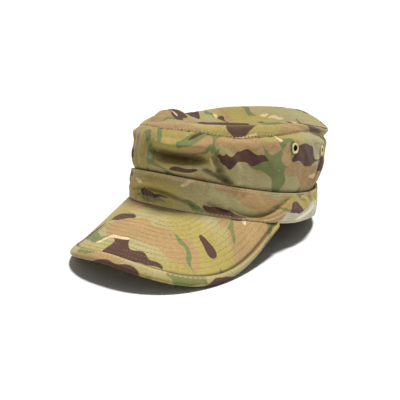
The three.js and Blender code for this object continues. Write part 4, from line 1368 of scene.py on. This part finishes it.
def cloth_material(name, shift, fade=0.0, hem_wear_and_highlight=0.2, light=1.0, rows=False, pale=False):
    """Printed cloth. shift moves the print, fade pales it, as on the inner face of the cloth, and
    hem wear pales its edges, partly as wear and partly as a painted highlight. light scales the
    piece's whole tone, partly the print's own tone and partly painted light and shade. rows adds the
    peak's stitched rows, and pale the band's bleached corner."""
    material, tree, surface = new_material(name)
    surface.inputs["Specular IOR Level"].default_value = 0.25
    surface.inputs["Sheen Weight"].default_value = 0.12
    surface.inputs["Sheen Roughness"].default_value = 0.5
    cloth = add_node(tree, "ShaderNodeUVMap", uv_map="cloth").outputs[0]
    printed = add_node(tree, "ShaderNodeGroup", node_tree=PRINT)
    tree.links.new(cloth, printed.inputs[0])
    printed.inputs[1].default_value = shift
    weave = add_node(tree, "ShaderNodeGroup", node_tree=WEAVE)
    tree.links.new(cloth, weave.inputs[0])
    colour = printed.outputs[0]
    if fade:
        colour = mixed(tree, fade, colour, FADED)
    uneven = noise(tree, cloth, **UNEVEN)
    fleck = noise(tree, cloth, **FLECKS)
    tones = [(weave.outputs[1], WEAVE_TONE), (uneven, UNEVEN_TONE), (fleck, FLECK_TONE)]
    # light scales the tone of the whole piece: partly the print's own tone, partly painted light and shade
    tone = maths(tree, "MULTIPLY", weighted(tree, tones, PLAIN_TONE), light)
    grey = add_node(tree, "ShaderNodeCombineColor", {0: tone, 1: tone, 2: tone}).outputs[0]
    colour = mixed(tree, 1.0, colour, grey, "MULTIPLY")
    # Wear and a painted highlight along the hems, strongest on the band: cream mixed in near the edges
    colour = mixed(tree, maths(tree, "MULTIPLY", attribute(tree, "hem"), hem_wear_and_highlight), colour, CREAM)
    # Painted shade and soil: the cloth darkens where its folds sink in, more the deeper they are
    fold_shade_and_soil = between(tree, maths(tree, "MULTIPLY", attribute(tree, "relief"), -1.0), *FOLD_SHADE_AND_SOIL_STARTS)
    colour = mixed(tree, maths(tree, "MULTIPLY", fold_shade_and_soil, FOLD_SHADE_AND_SOIL_WEIGHT), colour, FOLD_SHADE_AND_SOIL_COLOUR)
    if pale:
        colour = mixed(tree, between(tree, attribute(tree, "pale"), *PALE_STARTS), colour, BLEACHED)
    crumple = noise(tree, cloth, **CRUMPLES)
    heights = [(weave.outputs[0], WEAVE_RELIEF), (crumple, CRUMPLE_RELIEF)]
    if rows:
        ridge = row_ridges(tree)
        colour = with_rows(tree, colour, cloth, ridge)
        heights.append((ridge, ROW_RELIEF))
    tree.links.new(colour, surface.inputs["Base Color"])
    rough = weighted(tree, [(weave.outputs[1], SLUB_ROUGH)], CLOTH_ROUGH)
    tree.links.new(rough, surface.inputs["Roughness"])
    add_relief(tree, surface, weighted(tree, heights, 0.0), RELIEF_DEPTH, RELIEF_STRENGTH)
    return material


def thread_material(name, colour, dark):
    """Twisted thread, from dark to its own colour"""
    material, tree, surface = new_material(name)
    surface.inputs["Specular IOR Level"].default_value = 0.3
    place = add_node(tree, "ShaderNodeTexCoord").outputs["Object"]
    worn = noise(tree, place, THREAD_WORN)
    tree.links.new(mixed(tree, worn, dark, colour), surface.inputs["Base Color"])
    tree.links.new(maths(tree, "ADD", maths(tree, "MULTIPLY", worn, 0.2), 0.6), surface.inputs["Roughness"])
    add_relief(tree, surface, noise(tree, place, THREAD_TWIST, 1.0), FINE_RELIEF, 0.6)
    return material


def eyelet_material(name, lacquer, worn, shine):
    """Lacquered metal. shine is how metallic it is where it is worn."""
    material, tree, surface = new_material(name)
    place = add_node(tree, "ShaderNodeTexCoord").outputs["Object"]
    wear = between(tree, noise(tree, place, LACQUER_WORN), 0.4, 0.7)
    tree.links.new(mixed(tree, wear, lacquer, worn), surface.inputs["Base Color"])
    tree.links.new(maths(tree, "MULTIPLY", wear, shine), surface.inputs["Metallic"])
    rough = maths(tree, "SUBTRACT", 0.5, maths(tree, "MULTIPLY", wear, 0.15))
    tree.links.new(rough, surface.inputs["Roughness"])
    add_relief(tree, surface, noise(tree, place, LACQUER_GRAIN), FINE_RELIEF, 0.4)
    return material


# Materials
# light makes the band and peak lighter and the top panel darker: partly the print's tone, partly painted
# light and shade
inner_cloth = cloth_material("Inner cloth", (40, 310, 7), fade=0.55)
wall_cloth = cloth_material("Crown wall cloth", (930, 15, 1))
band_cloth = cloth_material("Headband cloth", (770, 390, 2), hem_wear_and_highlight=0.75, light=1.12, pale=True)
strip_cloth = cloth_material("Shoulder strip cloth", (90, 130, 3))
panel_cloth = cloth_material("Top panel cloth", (310, 60, 4), light=0.84)
peak_cloth = cloth_material("Peak cloth", (90, 700, 5), light=1.12, rows=True)
binding_cloth = cloth_material("Binding cloth", (520, 90, 6), hem_wear_and_highlight=0.3)
dark_thread = thread_material("Dark olive thread", shade(64, 52, 32), shade(38, 30, 18))
pale_thread = thread_material("Khaki thread", shade(222, 202, 158), shade(176, 154, 112))
tan_thread = thread_material("Tan thread", shade(172, 148, 104), shade(112, 92, 60))


def finish_piece(piece, nodes, materials):
    """Gives a piece its materials, and says what it rides on and which parts it replaces"""
    for material in materials:
        piece.data.materials.append(material)
    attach(piece, "root")
    if nodes:
        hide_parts(*nodes)


# Crown wall
wall, wall_folds = wall_points()
wall = placed(wall)
crown_wall = lay_cloth("Crown_wall_cloth", wall, True, {"relief": wall_folds / WALL_DEEP})
seats = eyelet_seats(wall)
finish_piece(crown_wall, ["crown_wall"], [wall_cloth, inner_cloth])
thicken(crown_wall, WALL_THICK)
cut_vents(crown_wall, seats)

# Headband
band, band_folds = band_points()
band = placed(band)
band_numbers = {"relief": band_folds / BAND_DEEP, "pale": band_pale()}
headband = lay_cloth("Headband_cloth", band, True, band_numbers)
finish_piece(headband, ["headband"], [band_cloth, inner_cloth])
thicken(headband, BAND_THICK, soften=BAND_SOFT)

# Shoulder strip
strip, strip_folds = strip_points()
strip = placed(strip)
shoulder = lay_cloth("Shoulder_strip_cloth", strip, True, {"relief": strip_folds / STRIP_DEEP})
finish_piece(shoulder, ["shoulder_strip"], [strip_cloth, inner_cloth])
thicken(shoulder, STRIP_THICK, soften=STRIP_SOFT)

# Top panel
panel, panel_folds = panel_points()
panel = placed(panel)
top_panel = lay_cloth("Top_panel_cloth", panel, False, {"relief": panel_folds / PANEL_DEEP})
finish_piece(top_panel, ["crown_top"], [panel_cloth, inner_cloth])
thicken(top_panel, PANEL_THICK, soften=PANEL_SOFT)

# Peak
peak_middle = peak_points()
from_edge = edge_distance(peak_middle)
tuck = binding_shadow(from_edge)
peak_numbers = {"relief": 0 * from_edge, "edge_distance": from_edge, "tuck": tuck}
peak_sheet = lay_cloth("Peak_cloth", placed(peak_middle), False, peak_numbers, unrolled(peak_middle))
finish_piece(peak_sheet, ["peak"], [peak_cloth, peak_cloth])
thicken(peak_sheet, PEAK_THICK, middle=True)

# Binding
binding = placed(binding_points())
binding_tape = lay_cloth("Peak_binding_tape", binding, False, {"relief": 0 * binding[..., 0]})
finish_piece(binding_tape, ["peak_binding"], [binding_cloth, binding_cloth])
thicken(binding_tape, BINDING_LEAF)

# Eyelets
metal = eyelet_material("Olive lacquered brass", shade(196, 184, 128), shade(226, 214, 168), 0.25)
# Painted shade inside the eyelets' holes
bore = eyelet_material("Eyelet bore painted shade", shade(30, 24, 16), shade(52, 42, 28), 0.1)
for (centre, normal), (_, _, node) in zip(seats, EYELETS):
    ring = make_eyelet(node.capitalize() + "_ring", centre, normal)
    finish_piece(ring, [node], [metal, bore])


def peak_rows():
    """Rows of stitching on the peak, each the same distance from the edge all along"""
    step = np.linspace(-ROW_END, ROW_END, ROW_STEPS)
    reach = np.linspace(0, ROW_DEPTH, ROW_DEPTH_STEPS)
    steps, depth = np.meshgrid(step, reach, indexing="ij")
    plan = peak_inset(steps.ravel(), depth.ravel()).reshape(*steps.shape, 2)
    sheet, _ = peak_surface(plan, np.zeros(steps.shape))
    distance = edge_distance(sheet, ROW_EDGE_STEPS)
    oval = LEVELS["band_bottom"]
    outside = np.hypot(plan[..., 0] / oval["half_width"], plan[..., 1] / oval["half_length"]) > ROW_CLEAR
    runs = []
    for wanted in np.arange(FIRST_ROW, LAST_ROW, ROW_SPACING):
        run = []
        for i in range(len(step)):
            rises = np.where((distance[i, 1:] >= wanted) & (distance[i, :-1] < wanted))[0]
            if len(rises) and outside[i, rises[0]]:
                k = rises[0]
                share = (wanted - distance[i, k]) / (distance[i, k + 1] - distance[i, k])
                run.append(plan[i, k] * (1 - share) + plan[i, k + 1] * share)
            elif len(run) > SHORT_RUN:
                runs.append(np.array(run))
                run = []
        if len(run) > SHORT_RUN:
            runs.append(np.array(run))
    return runs


def lifted(plan, above):
    """A row of the peak at a height over its middle surface: its places as they lie, and normals"""
    point, normal = peak_surface(plan, np.full(len(plan), above))
    base = placed(point)
    tip = placed(point + normal)
    return base, unit(tip - base)


def sew(name, runs, thread):
    """A piece of stitches along its runs, sized by the table of stitches"""
    stitches = stitch_runs(name, runs, **STITCHES[name])
    finish_piece(stitches, [], [thread])


# Stitching
sew("Crown_seam_stitches", [seam_line(strip, CROWN_ROW)], dark_thread)
sew("Band_top_stitches", [seam_line(band, BAND_TOP_ROW, True)], pale_thread)
sew("Band_seam_stitches", [seam_line(band, BAND_SEAM_ROW)], pale_thread)
back_rows = back_lines(wall, *BACK_ON_WALL) + back_lines(band, *BACK_ON_BAND)
sew("Back_seam_stitches", back_rows, tan_thread)
rows_on_peak = [lifted(plan, PEAK_THICK / 2) for plan in peak_rows()]
sew("Peak_stitches", rows_on_peak, tan_thread)
sew("Binding_stitches", [seam_line(binding, BINDING_ROW, True)], pale_thread)


def set_camera():
    turn = math.radians(CAMERA["turn"])
    raised = math.radians(CAMERA["raised"])
    right = Vector((math.cos(turn), math.sin(turn), 0))
    back = Vector((math.sin(turn) * math.cos(raised), -math.cos(turn) * math.cos(raised), math.sin(raised)))
    up = back.cross(right)
    place = right * CAMERA["aside"] + Vector((0, SHIFT, CAMERA["up"])) + back * CAMERA["away"]
    lens = bpy.data.cameras.new("Camera")
    lens.sensor_width = SENSOR
    lens.lens = SENSOR * CAMERA["focal"] / PICTURE
    lens.clip_start = 0.01
    camera = bpy.data.objects.new("Camera", lens)
    bpy.context.scene.collection.objects.link(camera)
    turn_to = Matrix((right, up, back)).transposed().to_4x4()
    camera.matrix_world = Matrix.Translation(place * MM) @ turn_to
    bpy.context.scene.camera = camera


def add_sun(name, turn, raised, strength, spread, colour):
    """A soft light from far away. turn is from the camera's view to its right, raised from the floor."""
    light = bpy.data.lights.new(name, "SUN")
    light.energy = strength
    light.angle = math.radians(spread)
    light.color = colour
    lamp = bpy.data.objects.new(name, light)
    bpy.context.scene.collection.objects.link(lamp)
    around = math.radians(CAMERA["turn"] + turn)
    high = math.radians(raised)
    towards = Vector((math.sin(around) * math.cos(high), -math.cos(around) * math.cos(high), math.sin(high)))
    lamp.rotation_mode = "QUATERNION"
    lamp.rotation_quaternion = Vector((0, 0, 1)).rotation_difference(towards)


def add_floor():
    bpy.ops.object.select_all(action="DESELECT")
    bpy.ops.mesh.primitive_plane_add(size=FLOOR_SIZE, location=(0, 0, 0))
    floor = bpy.context.object
    floor.name = "Floor"
    floor.data.transform(Matrix.Translation((0, 0, -FLOOR_GAP * MM)))
    material, _, surface = new_material("Pale floor")
    surface.inputs["Base Color"].default_value = (0.8, 0.8, 0.8, 1)
    surface.inputs["Roughness"].default_value = 0.9
    surface.inputs["Specular IOR Level"].default_value = 0.1
    floor.data.materials.append(material)


def set_room():
    """White walls for the camera, and a dimmer even light for the cap"""
    world = bpy.data.worlds.new("Room")
    world.use_nodes = True
    room = world.node_tree
    to_camera = add_node(room, "ShaderNodeLightPath").outputs["Is Camera Ray"]
    strength = maths(room, "ADD", maths(room, "MULTIPLY", to_camera, 1.0 - AMBIENT), AMBIENT)
    room.nodes["Background"].inputs["Color"].default_value = (1, 1, 1, 1)
    room.links.new(strength, room.nodes["Background"].inputs["Strength"])
    bpy.context.scene.world = world


set_camera()
add_floor()
add_sun("Top light", **TOP_LIGHT)
set_room()
bpy.context.scene.view_settings.view_transform = "Standard"
